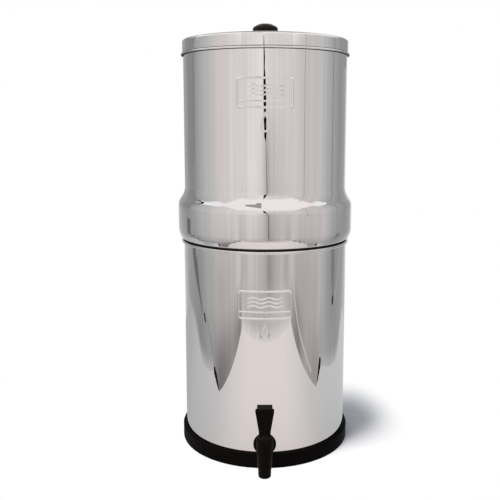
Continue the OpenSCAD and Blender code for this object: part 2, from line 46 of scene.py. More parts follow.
# Camera: stands about a metre in front of the tap, at the height of the upper chamber's middle, and looks
# a little down at the whole filter.
camera_place = (0.0, -1.0288, 0.4714)
camera_down = 8.26
camera_roll = 0.09
camera_data = bpy.data.cameras.new("camera")
camera_data.sensor_width = 36.0
camera_data.lens = 50.1
camera_data.shift_x = -0.0301
camera_data.shift_y = -0.05
camera = bpy.data.objects.new("camera", camera_data)
bpy.context.scene.collection.objects.link(camera)
camera.rotation_euler = (Matrix.Rotation(math.radians(90 - camera_down), 3, "X")
                         @ Matrix.Rotation(math.radians(camera_roll), 3, "Z")).to_euler()
camera.location = camera_place
bpy.context.scene.camera = camera

# Base ring: a moulded rubber ring of L section that the lower chamber stands in. The web runs in under the
# chamber and the upright lip hugs its foot. Matt black, with the fine grain of the mould.
base_ring_corners = [(100, 0, 0.6), (125, 0, 0.9), (125, 20.3, 1.8), (120.1, 20.3, 0.4), (120.1, 5, 0.3),
                     (100, 5, 0.6)]
weld = 1e-6
half_planes = {"X": (Vector((0, 1, 0)), Vector((1, 0, 0))),
               "Y": (Vector((1, 0, 0)), Vector((0, 1, 0))),
               "Z": (Vector((1, 0, 0)), Vector((0, 0, 1)))}


def rounded(corners, closed=False, chord_turn=7, chord_long=2.5):
    """Corners (radius, height, fillet) in mm as points, each fillet walked in short chords."""
    points = []
    last = len(corners) - 1
    for i, (r, z, *fillet) in enumerate(corners):
        size = fillet[0] if fillet else 0
        if not size or (not closed and i in (0, last)):
            points.append((r, z))
            continue
        here = Vector((r, z))
        back = (Vector(corners[i - 1][:2]) - here).normalized()
        ahead = (Vector(corners[(i + 1) % len(corners)][:2]) - here).normalized()
        half = back.angle(ahead) / 2
        turn = math.pi - 2 * half
        steps = max(3, math.ceil(turn / math.radians(chord_turn)), math.ceil(turn * size / chord_long))
        centre = here + (back + ahead).normalized() * (size / math.sin(half))
        start = here + back * (size / math.tan(half)) - centre
        way = 1 if back.y * ahead.x - back.x * ahead.y > 0 else -1
        for k in range(steps + 1):
            a = way * turn * k / steps
            points.append((centre.x + start.x * math.cos(a) - start.y * math.sin(a),
                           centre.y + start.x * math.sin(a) + start.y * math.cos(a)))
    return points


def between(a, b, part, whole=1):
    """The point at that part of the way from a to b."""
    return a[0] + (b[0] - a[0]) * part / whole, a[1] + (b[1] - a[1]) * part / whole


def held(points, closed=False, hold=0.4, span=30.0):
    """Adds a point near both ends of every long straight, so that the curve beside it stays beside it."""
    result = []
    for a, b in zip(points, points[1:] + points[:1] if closed else points[1:]):
        result.append(a)
        length = math.dist(a, b)
        if length > 5 * hold:
            cuts = [hold, 3 * hold] if length > 12 * hold else [hold]
            inner = length - 2 * cuts[-1]
            middle = max(0, math.ceil(inner / span) - 1)
            places = cuts + [cuts[-1] + inner * (k + 1) / (middle + 1) for k in range(middle)]
            places += [length - c for c in reversed(cuts)]
            result += [between(a, b, s, length) for s in places]
    if not closed:
        result.append(points[-1])
    return result


def pick(*pieces):
    """Selects these pieces and no others, and makes the first of them the active one."""
    bpy.ops.object.select_all(action="DESELECT")
    for piece in pieces:
        piece.select_set(True)
    if pieces:
        bpy.context.view_layer.objects.active = pieces[0]


def traced(name, walk):
    """A new piece with edges through the walk's points (m), all selected and left in edit mode."""
    pick()
    bpy.ops.mesh.primitive_plane_add(size=mm)
    piece = bpy.context.object
    piece.name = piece.data.name = name
    bpy.ops.object.mode_set(mode="EDIT")
    bpy.ops.mesh.select_all(action="SELECT")
    bpy.ops.mesh.merge(type="CENTER")
    bpy.ops.transform.translate(value=walk[0])
    for a, b in zip(walk, walk[1:]):
        bpy.ops.mesh.extrude_vertices_move(TRANSFORM_OT_translate={"value": b - a})
    bpy.ops.mesh.select_all(action="SELECT")
    bpy.ops.mesh.remove_doubles(threshold=weld)
    return piece


def smooth(degrees):
    """Shades the selected pieces smooth over all edges flatter than that."""
    bpy.ops.object.shade_smooth_by_angle(angle=math.radians(degrees))


def spun(name, points, closed=True, steps=256, place=(0, 0, 0), along="Z"):
    """Turns a line of (radius, distance along the axis) points in mm about an axis through place, in mm."""
    out, up = half_planes[along]
    line = list(points) + ([points[0]] if closed else [])
    piece = traced(name, [out * r * mm + up * h * mm for r, h in line])
    bpy.ops.mesh.spin(steps=steps, angle=math.tau, center=(0, 0, 0), axis=tuple(up))
    bpy.ops.mesh.select_all(action="SELECT")
    bpy.ops.mesh.remove_doubles(threshold=weld)
    bpy.ops.mesh.normals_make_consistent(inside=False)
    bpy.ops.transform.translate(value=[c * mm for c in place])
    bpy.ops.object.mode_set(mode="OBJECT")
    smooth(38)
    return piece


def turned(name, corners, closed=False, **how):
    """Spins a piece from corners with fillets. An open line starts and ends on the axis."""
    return spun(name, held(rounded(corners, closed), closed), closed, **how)


def add_node(tree, kind, inputs=None, **settings):
    """A new shader node with its settings. Each of its inputs takes a value or is linked to a socket."""
    node = tree.nodes.new("ShaderNode" + kind)
    for setting, value in settings.items():
        setattr(node, setting, value)
    for socket, value in (inputs or {}).items():
        if isinstance(value, bpy.types.NodeSocket):
            tree.links.new(value, node.inputs[socket])
        else:
            node.inputs[socket].default_value = value
    return node


def reckon(tree, how, *values, kind="Math", out=0):
    """The result of one step of arithmetic with values or sockets."""
    return add_node(tree, kind, dict(enumerate(values)), operation=how).outputs[out]


def mapped(tree, value, low, high, to_low=0, to_high=1, **settings):
    """A value whose range from low to high is stretched onto another range."""
    ends = {"Value": value, "From Min": low, "From Max": high, "To Min": to_low, "To Max": to_high}
    return add_node(tree, "MapRange", ends, **settings).outputs[0]


def shader(name, colour, roughness, metallic=0.0):
    """A new material with a Principled surface, with its node tree and that surface."""
    material = bpy.data.materials.new(name)
    material.use_nodes = True
    surface = material.node_tree.nodes["Principled BSDF"]
    surface.inputs["Base Color"].default_value = colour
    surface.inputs["Roughness"].default_value = roughness
    surface.inputs["Metallic"].default_value = metallic
    return material, material.node_tree, surface


def dress(piece, material):
    piece.data.materials.clear()
    piece.data.materials.append(material)


def pattern_group(name, size_label, results):
    """A new shader group with a size in mm going in, with the noise scale for that size and its results."""
    group = bpy.data.node_groups.new(name, "ShaderNodeTree")
    group.interface.new_socket(size_label, in_out="INPUT", socket_type="NodeSocketFloat")
    for label in results:
        group.interface.new_socket(label, in_out="OUTPUT", socket_type="NodeSocketFloat")
    size = group.nodes.new("NodeGroupInput").outputs[size_label]
    return group, reckon(group, "DIVIDE", 1000, size), group.nodes.new("NodeGroupOutput").inputs


def grain_group():
    """Fine moulded grain: a grey mask for roughness and colour, and a height for the bump."""
    group, scale, out = pattern_group("moulded_grain", "Size", ("Mask", "Height"))
    place = add_node(group, "TexCoord").outputs["Object"]
    fine = add_node(group, "TexNoise", {"Vector": place, "Scale": scale, "Detail": 2}).outputs["Fac"]
    slow = add_node(group, "TexNoise", {"Vector": place, "Scale": 30, "Detail": 4}).outputs["Fac"]
    half = reckon(group, "MULTIPLY", fine, 0.5)
    group.links.new(reckon(group, "MULTIPLY_ADD", slow, 0.5, half), out["Mask"])
    group.links.new(fine, out["Height"])
    return group


moulded_grain = grain_group()


def moulded(name, dark, light, rough, grain, deep, shine=0.22):
    """A moulded finish: grain of that size and depth in mm moves the colour and the roughness a little."""
    material, tree, surface = shader(name, dark, rough[0])
    surface.inputs["Specular IOR Level"].default_value = shine
    pattern = add_node(tree, "Group", {"Size": grain}, node_tree=moulded_grain)
    mask, height = pattern.outputs["Mask"], pattern.outputs["Height"]
    tone = add_node(tree, "Mix", {0: mask, 6: dark, 7: light}, data_type="RGBA")
    bump = add_node(tree, "Bump", {"Height": height, "Distance": deep * mm, "Strength": 0.6})
    tree.links.new(tone.outputs[2], surface.inputs["Base Color"])
    tree.links.new(mapped(tree, mask, 0.3, 0.7, *rough), surface.inputs["Roughness"])
    tree.links.new(bump.outputs[0], surface.inputs["Normal"])
    return material


base_rubber = moulded("base_rubber", (0.0015, 0.0010, 0.0009, 1), (0.0026, 0.0019, 0.0017, 1),
                      rough=(0.5, 0.68), grain=0.6, deep=0.03, shine=0.03)
base_ring = turned("base_ring_rubber", base_ring_corners, closed=True)
dress(base_ring, base_rubber)
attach(base_ring, "lower_unit")
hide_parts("base_ring")

# Lower chamber: one sheet of stainless steel, spun to a round tub with a pressed bottom and a rim rolled
# outwards. A hole near the foot takes the tap. Polished to a mirror, with faint lines round it.
chamber_sheet = 0.8
lower_corners = [(0, 6.5), (93, 6.5, 5), (96, 5, 5), (120, 5, 9), (120, 303.1, 1.25), (122.6, 303.1, 1.25),
                 (122.6, 300.5, 1.25), (121.3, 300.5)]
tap_hole_d = 16.4
tap_hole_z = 35.2


def sheet_outline(corners, thick, low, high, step, keep_off=0.5):
    """The closed outline of a sheet left of its path, with a point at every step from low to high."""
    wanted = [low + step * k for k in range(int((high - low) / step) + 1)]
    path = []
    walk = held(rounded(corners))
    for a, b in zip(walk, walk[1:]):
        path.append(a)
        run = 1 if abs(b[1] - a[1]) > abs(b[0] - a[0]) else 0
        inside = [p for p in wanted if min(a[run], b[run]) + keep_off < p < max(a[run], b[run]) - keep_off]
        for p in (inside if b[run] > a[run] else reversed(inside)):
            path.append(between(a, b, (p - a[run]) / (b[run] - a[run])))
    path.append(walk[-1])
    other = []
    for i, here in enumerate(path):
        near = path[max(i - 1, 0):i + 2]
        sides = []
        for a, b in zip(near, near[1:]):
            along = (Vector(b) - Vector(a)).normalized()
            sides.append(Vector((-along.y, along.x)))
        normal = sum(sides, Vector((0, 0))).normalized()
        other.append(tuple(Vector(here) + normal * thick / normal.dot(sides[0])))
    return path + other[::-1]


def lines_group():
    """Faint polishing lines that run round the axis, and slow smudges over them."""
    group, scale, out = pattern_group("polishing_lines", "Line Size", ("Lines", "Smudges"))
    smudge_size, drift = 60.0, 0.004
    place = add_node(group, "TexCoord").outputs["Object"]
    x, y, z = add_node(group, "SeparateXYZ", {0: place}).outputs
    flat = add_node(group, "CombineXYZ", {"X": x, "Y": y}).outputs[0]
    far = reckon(group, "LENGTH", flat, kind="VectorMath", out="Value")
    slow = reckon(group, "MULTIPLY", x, drift)
    ring = add_node(group, "CombineXYZ", {"X": far, "Y": slow, "Z": z}).outputs[0]
    lines = add_node(group, "TexNoise", {"Vector": ring, "Scale": scale, "Detail": 3})
    smudges = add_node(group, "TexNoise", {"Vector": place, "Scale": 1000 / smudge_size, "Detail": 3})
    group.links.new(lines.outputs["Fac"], out["Lines"])
    group.links.new(smudges.outputs["Fac"], out["Smudges"])
    return group


polishing_lines = lines_group()


def polished(name, colour, rough, line, deep):
    """Bare metal: smudges move the roughness, and lines of that size and depth in mm lift the surface."""
    material, tree, surface = shader(name, colour, rough[0], metallic=1.0)
    pattern = add_node(tree, "Group", {"Line Size": line}, node_tree=polishing_lines)
    lines, smudges = pattern.outputs["Lines"], pattern.outputs["Smudges"]
    bump = add_node(tree, "Bump", {"Height": lines, "Distance": deep * mm, "Strength": 1.0})
    tree.links.new(mapped(tree, smudges, 0.35, 0.65, *rough), surface.inputs["Roughness"])
    tree.links.new(bump.outputs[0], surface.inputs["Normal"])
    return material


def reshape(piece, kind, **settings):
    """Puts a modifier on the active piece and applies it."""
    modifier = piece.modifiers.new(kind.lower(), kind)
    for setting, value in settings.items():
        setattr(modifier, setting, value)
    bpy.ops.object.modifier_apply(modifier=modifier.name)


def cut(piece, tool, how="DIFFERENCE"):
    """Takes the tool's solid out of the piece, or, with INTERSECT, keeps what lies in both."""
    pick(piece)
    reshape(piece, "BOOLEAN", operation=how, solver="EXACT", object=tool)
    bpy.data.objects.remove(tool)


def cylinder(sides, radius, deep, place, lean=0):
    """A plain cylinder round place, in mm, leant over by that many degrees."""
    pick()
    bpy.ops.mesh.primitive_cylinder_add(vertices=sides, radius=radius * mm, depth=deep * mm,
                                        location=[c * mm for c in place], rotation=(math.radians(lean), 0, 0))
    return bpy.context.object


def paint_gap_shade(piece, r_low, r_high, z_low, z_high):
    """Paints the faces whose middles lie in that ring nearly black, as painted shade in a gap between parts.
    """
    if gap_shade_steel.name not in piece.data.materials:
        piece.data.materials.append(gap_shade_steel)
    for face in piece.data.polygons:
        x, y, z = face.center
        if r_low < math.hypot(x, y) / mm < r_high and z_low < z / mm < z_high:
            face.material_index = 1


polished_steel = polished("polished_steel", (0.80, 0.79, 0.785, 1),
                          rough=(0.015, 0.035), line=0.8, deep=0.0002)
# Nearly black steel: painted shade for the dark lines in the gaps between the chambers and under the lid's
# bead.
gap_shade_steel = polished("gap_shade_steel", (0.05, 0.045, 0.043, 1), rough=(0.5, 0.6), line=0.8, deep=0.002)
lower_chamber = spun("lower_chamber_steel", sheet_outline(lower_corners, chamber_sheet, 17, 53, 3))
cut(lower_chamber, cylinder(96, tap_hole_d / 2, 20, (0, -120, tap_hole_z), lean=90))
dress(lower_chamber, polished_steel)
# Painted shade: the top of the inner wall and the rim's edge are painted nearly black, for the dark gap under
# the upper chamber's shoulder.
paint_gap_shade(lower_chamber, 118, 119.6, 290, 303)
paint_gap_shade(lower_chamber, 118, 120.4, 302.4, 305)
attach(lower_chamber, "lower_unit")
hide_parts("lower_chamber")

# Pressed plate and mark on a chamber: a bare framed plate with a few plain wave lines, and a plain water drop
# below it, stamped out from the wall as soft ridges 0.6 to 0.8 mm high.
ridge_sunk = 0.2
plate_wide, plate_high, plate_round = 73.0, 37.5, 3.5
wave_half, wave_up, wave_gap, wave_swing, wave_long = 24, 3.5, 5.5, 1.3, 3.4
drop_high, drop_wide = 24.0, 15.0


def made_of(name, corners, faces):
    """A new piece from its corners (m) and faces."""
    mesh = bpy.data.meshes.new(name)
    mesh.from_pydata(corners, [], faces)
    piece = bpy.data.objects.new(name, mesh)
    bpy.context.scene.collection.objects.link(piece)
    return piece


def ridge(name, line, wall_r, wide, high, closed=True):
    """A soft ridge on a wall of that radius, along points (distance round the wall, height) in mm."""
    shape = [(-0.5 + k / 8, 0.5 - 0.5 * math.cos(math.tau * k / 8)) for k in range(9)]
    loop = [(s * wide, h * high) for s, h in shape] + [(0.5 * wide, -ridge_sunk), (-0.5 * wide, -ridge_sunk)]
    verts, faces, rows, per = [], [], len(line), len(loop)
    for i, (u, z) in enumerate(line):
        before = line[i - 1] if closed or i else line[i]
        after = line[(i + 1) % rows] if closed or i < rows - 1 else line[i]
        way = (Vector(after) - Vector(before)).normalized()
        side = Vector((way.y, -way.x))
        for s, h in loop:
            a, r = (u + side.x * s) / wall_r, wall_r + h
            verts.append((r * math.sin(a) * mm, -r * math.cos(a) * mm, (z + side.y * s) * mm))
    for i in range(rows if closed else rows - 1):
        for k in range(per):
            here, beside = i * per, (i + 1) % rows * per
            faces.append((here + k, here + (k + 1) % per, beside + (k + 1) % per, beside + k))
    if not closed:
        faces += [tuple(range(per))[::-1], tuple(range((rows - 1) * per, rows * per))]
    return made_of(name, verts, faces)


def join(name, parts):
    pick(*parts)
    bpy.ops.object.join()
    piece = bpy.context.object
    piece.name = piece.data.name = name
    return piece


def pressed_plate(name, wall_r, plate_z, divider_z, drop_z):
    """The plate's frame, its divider, three wave lines and the drop, joined in one piece."""
    w, h, q = plate_wide / 2, plate_high / 2, plate_round
    frame_line = []
    for cx, cz, start in ((w - q, h - q, 0), (q - w, h - q, 90), (q - w, q - h, 180), (w - q, q - h, 270)):
        frame_line += [(cx + q * math.cos(math.radians(start + 15 * k)),
                        plate_z + cz + q * math.sin(math.radians(start + 15 * k))) for k in range(7)]
    full = []
    for a, b in zip(frame_line, frame_line[1:] + frame_line[:1]):
        cuts = max(1, round(math.dist(a, b) / 2))
        full += [between(a, b, k, cuts) for k in range(cuts)]
    divider = [(-w + 1 + 2 * k, divider_z) for k in range(int(w))]
    parts = [ridge("plate_frame", full, wall_r, wide=3.0, high=0.8),
             ridge("divider", divider, wall_r, wide=2.4, high=0.6, closed=False)]
    for row in (1, 0, -1):
        line = [(u, plate_z + wave_up + wave_gap * row + wave_swing * math.sin(u / wave_long))
                for u in [-wave_half + k * 0.8 for k in range(61)]]
        parts.append(ridge("wave", line, wall_r, wide=2.4, high=0.7, closed=False))
    drop = []
    for k in range(72):
        t = math.tau * k / 72
        across = drop_wide / 2 * math.sin(t) * math.sin(t / 2) ** 1.5
        drop.append((across, drop_z + drop_high / 2 * math.cos(t)))
    parts.append(ridge("drop", drop, wall_r, wide=2.6, high=0.7))
    piece = join(name, parts)
    bpy.ops.object.mode_set(mode="EDIT")
    bpy.ops.mesh.select_all(action="SELECT")
    bpy.ops.mesh.normals_make_consistent(inside=False)
    bpy.ops.object.mode_set(mode="OBJECT")
    smooth(60)
    dress(piece, polished_steel)
    return piece


lower_plate = pressed_plate("lower_chamber_plate", 120.0, 230.3, 220.7, 193.0)
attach(lower_plate, "lower_unit")

# Tap moulding: spout, valve body, arm, flange and threaded shank in one, moulded in black plastic. The shank
# goes through the chamber's wall; the valve bore meets the spout's bore at the seat.
tap_y, shank_z = -165.0, 35.2
tap_axis, shank_axis = (0, tap_y, 0), (0, 0, shank_z)
seat_z, body_top_z = 27.0, 58.0
spout_bore_r, valve_bore_r, shank_bore_r = 4.5, 7.6, 5.0
thread_pitch, thread_deep, thread_root = 1.8, 0.7, 0.4
tap_outer_corners = [(0, 9.7), (8.4, 9.7, 1.6), (8.8, 20.7, 1), (9.4, 22.7, 1), (10.9, 43.2, 6),
                     (10.9, 58, 0.6), (0, 58)]
tap_arm_corners = [(0, -165), (8.2, -165), (8.2, -126, 1), (13.4, -126, 0.4), (15.8, -124.5, 0.5),
                   (15.8, -122.5, 0.2), (7.3, -122.5, 0.2), (7.3, -107, 0.3), (6.5, -105.8, 0.2), (0, -105.8)]
tap_black = moulded("tap_black", (0.0022, 0.0016, 0.0013, 1), (0.0036, 0.0026, 0.0021, 1),
                    rough=(0.3, 0.42), grain=0.35, deep=0.01, shine=0.03)


def one_moulding(name, parts, grain, rounds=3):
    """Melts overlapping solids into one moulding with soft inner corners."""
    piece = join(name, parts)
    reshape(piece, "REMESH", mode="VOXEL", voxel_size=grain * mm, use_smooth_shade=True)
    reshape(piece, "SMOOTH", factor=0.5, iterations=rounds)
    return piece


def thread(name, crest_r, low, turns, place=(0, 0, 0), along="Z"):
    """One helical ridge with its root inside the core, made by a screw modifier on a small closed profile."""
    out, up = half_planes[along]
    root_r = crest_r - thread_deep - thread_root
    profile = [(root_r, 0), (crest_r, thread_pitch * 0.36), (crest_r, thread_pitch * 0.50),
               (root_r, thread_pitch * 0.86)]
    piece = traced(name, [out * r * mm + up * (low + h) * mm for r, h in profile + profile[:1]])
    bpy.ops.object.mode_set(mode="OBJECT")
    reshape(piece, "SCREW", axis=along, angle=math.tau, screw_offset=thread_pitch * mm, iterations=turns,
            steps=48, render_steps=48)
    bpy.ops.object.mode_set(mode="EDIT")
    bpy.ops.mesh.select_all(action="SELECT")
    bpy.ops.mesh.fill_holes(sides=0)
    bpy.ops.mesh.select_all(action="SELECT")
    bpy.ops.mesh.normals_make_consistent(inside=False)
    bpy.ops.transform.translate(value=[c * mm for c in place])
    bpy.ops.object.mode_set(mode="OBJECT")
    return piece


def plain_bar(r, low, high, steps=96, place=(0, 0, 0), along="Z"):
    """A bar of radius r from low to high along the axis, mostly to bore a hole with."""
    return spun("plain_bar", [(0, low), (r, low), (r, high), (0, high)], closed=False, steps=steps,
                place=place, along=along)


tap_outer = turned("tap_outer", tap_outer_corners, steps=96, place=tap_axis)
tap_arm = turned("tap_arm", tap_arm_corners, steps=96, place=shank_axis, along="Y")
shank_thread = thread("shank_thread", 7.9, -122.0, 8, place=shank_axis, along="Y")
tap_body = one_moulding("tap_body_moulding", [tap_outer, tap_arm, shank_thread], 0.4)
cut(tap_body, plain_bar(valve_bore_r, seat_z, body_top_z + 2, place=tap_axis))
cut(tap_body, plain_bar(spout_bore_r, 7, seat_z + 1, steps=64, place=tap_axis))
cut(tap_body, plain_bar(shank_bore_r, -165, -103, steps=64, place=shank_axis, along="Y"))
smooth(45)
dress(tap_body, tap_black)
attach(tap_body, "lower_unit")
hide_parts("tap_body")

# Tap bonnet: a round cap with finger flutes, screwed into the valve body. It holds the spring down and
# guides the stem, and the lever's cam turns on its top.
bonnet_corners = [(4.6, 51), (7.55, 51, 0.5), (7.55, 58, 0.2), (10.75, 58, 0.5), (10.75, 64.7, 1.2),
                  (2.6, 64.7, 0.3), (2.6, 61.2), (4.6, 61.2, 0.3)]
flute_count, flute_r, flute_out, flute_deep, flute_z = 18, 1.1, 11.35, 8, 63


def spread_round(count, out, z, centre_y=0):
    """Places in mm, evenly spread on a circle round a point on the Y axis."""
    turns = [math.tau * k / count for k in range(count)]
    return [(out * math.cos(a), centre_y + out * math.sin(a), z) for a in turns]


tap_bonnet = turned("tap_bonnet_cap", bonnet_corners, closed=True, steps=144, place=tap_axis)
flute_places = spread_round(flute_count, flute_out, flute_z, tap_y)
cut(tap_bonnet, join("flutes", [cylinder(24, flute_r, flute_deep, place) for place in flute_places]))
smooth(38)
dress(tap_bonnet, tap_black)
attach(tap_bonnet, "lower_unit")
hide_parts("tap_bonnet")

# Tap stem and seat cup: a moulded rod with an eye for the lever's pin, a flange that the spring stands on
# and a barbed foot, over which a soft silicone cup is pulled. The cup closes the seat.
stem_corners = [(0, 28.9), (2.5, 28.9), (3.25, 29.7, 0.2), (3.25, 30.5, 0.2), (2.1, 31.3, 0.3),
                (2.1, 34, 0.2), (6, 34, 0.3), (6, 36, 0.3), (2.5, 36, 0.5), (2.5, 68, 0.2), (0, 68)]
eye_corners = [(1.6, -2.5, 0.15), (4.45, -2.5, 0.5), (4.45, 2.5, 0.5), (1.6, 2.5, 0.15)]
cup_corners = [(0, 27), (5.7, 27, 0.3), (6.6, 28.2, 0.8), (6.6, 32.8, 0.8), (5.9, 34, 0.3), (2.15, 34),
               (2.15, 31.3), (3.3, 30.5), (3.3, 29.7), (2.5, 28.85), (0, 28.85)]
pin_z = 69.7
milky_silicone = moulded("milky_silicone", (0.70, 0.70, 0.66, 1), (0.76, 0.76, 0.72, 1),
                         rough=(0.35, 0.45), grain=0.6, deep=0.01)
stem_rod = turned("stem_rod", stem_corners, steps=64, place=tap_axis)
stem_eye = turned("stem_eye", eye_corners, closed=True, steps=64, place=(0, tap_y, pin_z), along="X")
tap_stem = one_moulding("tap_stem_moulding", [stem_rod, stem_eye], 0.28, rounds=2)
dress(tap_stem, tap_black)
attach(tap_stem, "valve_stem")
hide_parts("tap_stem")
seat_cup = turned("tap_seat_cup_silicone", cup_corners, steps=96, place=tap_axis)
dress(seat_cup, milky_silicone)
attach(seat_cup, "valve_stem")
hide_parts("tap_seat_cup")

# Tap spring: seven turns of round stainless wire with closed ends, between the stem's flange and the bonnet.
spring_turns, wire_r, coil_r = 7, 0.45, 3.65
spring_low, spring_high, turn_points = 36.0, 61.2, 40
end_gap = 0.03
spring_wire = polished("spring_wire", (0.55, 0.55, 0.57, 1), rough=(0.22, 0.32), line=0.2, deep=0.002)
coil = bpy.data.curves.new("coil", "CURVE")
coil.dimensions = "3D"
coil.bevel_depth = wire_r * mm
coil.bevel_resolution = 3
coil.use_fill_caps = True
wire = coil.splines.new("POLY")
count = spring_turns * turn_points
wire.points.add(count)
closed_share, flat_share = 1 / spring_turns, 0.6
flat_rise = closed_share * flat_share
wire_low, wire_high = spring_low + wire_r + end_gap, spring_high - wire_r - end_gap
for k in range(count + 1):
    u = k / count
    if u < closed_share:
        climb = u * flat_share
    elif u > 1 - closed_share:
        climb = 1 - (1 - u) * flat_share
    else:
        climb = flat_rise + (u - closed_share) * (1 - 2 * flat_rise) / (1 - 2 * closed_share)
    a = math.tau * spring_turns * u
    wire.points[k].co = (coil_r * math.cos(a) * mm, (tap_y + coil_r * math.sin(a)) * mm,
                         (wire_low + (wire_high - wire_low) * climb) * mm, 1)
tap_spring = bpy.data.objects.new("tap_spring_coil", coil)
bpy.context.scene.collection.objects.link(tap_spring)
pick(tap_spring)
bpy.ops.object.convert(target="MESH")
tap_spring = bpy.context.object
smooth(50)
dress(tap_spring, spring_wire)
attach(tap_spring, "lower_unit")
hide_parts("tap_spring")
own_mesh(tap_spring)

# Tap lever: a flat front plate with a hollow box behind it, moulded in one with the two ears whose rounded
# feet are the cam. A steel pin through the ears and the stem's eye joins it to the stem.
pin_r, ear_r, ear_in, ear_out = 1.5, 4.85, 2.8, 6.4
ear_wide = ear_out - ear_in
lever_front, lever_back, plate_thick = -174.85, -157.85, 3.0
turned_steel = polished("turned_steel", (0.62, 0.62, 0.63, 1), rough=(0.16, 0.28), line=0.3, deep=0.003)


def slab(name, outline, plane, start, deep, edge=0.0):
    """A flat solid: an outline (mm) drawn in a plane, filled, and extruded across it, with soft edges."""
    place, across = {"XZ": (lambda u, v: Vector((u, start, v)) * mm, (0, deep * mm, 0)),
                     "YZ": (lambda u, v: Vector((start, u, v)) * mm, (deep * mm, 0, 0))}[plane]
    piece = traced(name, [place(u, v) for u, v in list(outline) + [outline[0]]])
    bpy.ops.mesh.select_all(action="SELECT")
    bpy.ops.mesh.edge_face_add()
    bpy.ops.mesh.extrude_region_move(TRANSFORM_OT_translate={"value": across})
    bpy.ops.mesh.select_all(action="SELECT")
    bpy.ops.mesh.normals_make_consistent(inside=False)
    bpy.ops.object.mode_set(mode="OBJECT")
    if edge:
        reshape(piece, "BEVEL", width=edge * mm, segments=3, limit_method="ANGLE",
                angle_limit=math.radians(35))
    return piece


def mirrored(right):
    return right + [(-x, z) for x, z in reversed(right)]


plate_right = [(7.5, 70.2), (7.8, 76.2), (12.4, 103.9), (12.1, 106.3), (11.5, 106.9)]
lever_plate = slab("lever_plate", mirrored(plate_right), "XZ", lever_front, plate_thick, edge=0.5)
lever_box = slab("lever_box", mirrored([(6.4, 78.05), (10.2, 106.9)]), "XZ", lever_front + 1,
                 lever_back - lever_front - 1, edge=0.5)
lever_hollow = slab("lever_hollow", mirrored([(4.4, 80.05), (8.2, 104.9)]), "XZ",
                    lever_front + plate_thick, 20)
cut(lever_box, lever_hollow)
back_slope = slab("back_slope", [(-160.15, 76), (-160.15, 78.05), (-157.85, 98.9), (-157.85, 105.9),
                                 (-158.85, 106.9), (-158.85, 109), (-150, 109), (-150, 76)], "YZ", -14, 28)
cut(lever_box, back_slope)
ears = []
for x in (-ear_out, ear_in):
    for y in (tap_y - 5, tap_y):
        ears.append(turned("ear_round", [(0, 0), (ear_r, 0, 0.4), (ear_r, ear_wide, 0.4), (0, ear_wide)],
                           steps=72, place=(x, y, pin_z), along="X"))
    web = [(tap_y - 5, pin_z - ear_r), (tap_y, pin_z - ear_r), (tap_y, pin_z), (tap_y + ear_r, pin_z),
           (tap_y + ear_r, 80.05), (lever_front, 80.05), (lever_front, pin_z), (tap_y - 5, pin_z)]
    ears.append(slab("ear_web", web, "YZ", x, ear_wide))
tap_lever = one_moulding("tap_lever_moulding", [lever_plate, lever_box, *ears], 0.34, rounds=2)
cut(tap_lever, plain_bar(pin_r + 0.02, -9, 9, steps=48, place=(0, tap_y, pin_z), along="X"))
smooth(45)
dress(tap_lever, tap_black)
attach(tap_lever, "lever")
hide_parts("tap_handle")
pin_corners = [(0, -ear_out), (pin_r, -ear_out, 0.3), (pin_r, ear_out, 0.3), (0, ear_out)]
lever_pin = turned("tap_lever_pin", pin_corners, steps=48, place=(0, tap_y, pin_z), along="X")
dress(lever_pin, turned_steel)
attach(lever_pin, "lever")
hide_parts("tap_handle_pin")

# Tap nut and wall washers: soft rubber on both sides of the wall, and a flanged plastic nut inside the
# chamber that pulls the tap's flange against them. No piece of the tap is mirrored in the steel.
nut_flats = 24
chamfer_corners = [(0, -117), (16, -117), (16, -110.4), (12.6, -108.7), (0, -108.7)]
nut_flange_corners = [(0, -116.7), (14.46, -116.7, 0.3), (14.46, -115.2, 0.5), (0, -115.2)]
seal_black = moulded("seal_black", (0.012, 0.012, 0.012, 1), (0.018, 0.018, 0.018, 1),
                     rough=(0.6, 0.75), grain=0.5, deep=0.02)
wall_washers = [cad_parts[node] for node in ("tap_outer_washer", "tap_inner_washer")]
for washer in wall_washers:
    dress(washer, seal_black)
nut_r = nut_flats / 2 / math.cos(math.radians(30))
nut_block = plain_bar(nut_r, -116.7, -108.7, steps=6, place=shank_axis, along="Y")
nut_chamfer = turned("nut_chamfer", chamfer_corners, steps=96, place=shank_axis, along="Y")
cut(nut_block, nut_chamfer, how="INTERSECT")
nut_flange = turned("nut_flange", nut_flange_corners, steps=96, place=shank_axis, along="Y")
tap_nut = one_moulding("tap_nut_moulding", [nut_block, nut_flange], 0.35, rounds=2)
cut(tap_nut, plain_bar(7.95, -118, -107, place=shank_axis, along="Y"))
smooth(45)
dress(tap_nut, tap_black)
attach(tap_nut, "lower_unit")
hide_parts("tap_nut")
tap_pieces = [tap_body, tap_bonnet, tap_stem, seat_cup, tap_spring, tap_lever, lever_pin, tap_nut]
for piece in tap_pieces + wall_washers:
    piece.visible_glossy = False

# Upper chamber: spun from the same sheet, with a neck that stands in the lower chamber's rim, a shoulder, a
# wide bulge and a flare up to the straight wall. Its rim is rolled inwards and its floor has four holes.
upper_corners = [(0, 286.3), (118.4, 286.3, 7), (118.4, 306.6, 1.2), (123.6, 306.6, 2.8), (127.6, 317, 25),
                 (127.6, 359.8, 18), (118, 372.4, 28), (118, 587.7, 2.05), (113.8, 587.7, 2.05),
                 (113.8, 583.5, 2.05), (115.9, 583.5)]
floor_hole_d, floor_hole_place, floor_z = 12.4, 58, 286.7
upper_chamber = spun("upper_chamber_steel", sheet_outline(upper_corners, chamber_sheet, 43, 73, 3))
for place in spread_round(4, floor_hole_place, floor_z):
    cut(upper_chamber, cylinder(64, floor_hole_d / 2, 10, place))
dress(upper_chamber, polished_steel)
# Painted shade: the neck under the shoulder is painted nearly black, for the dark gap line between the
# chambers.
paint_gap_shade(upper_chamber, 118.0, 122.2, 295, 307.0)
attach(upper_chamber, "upper_unit")
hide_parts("upper_chamber")

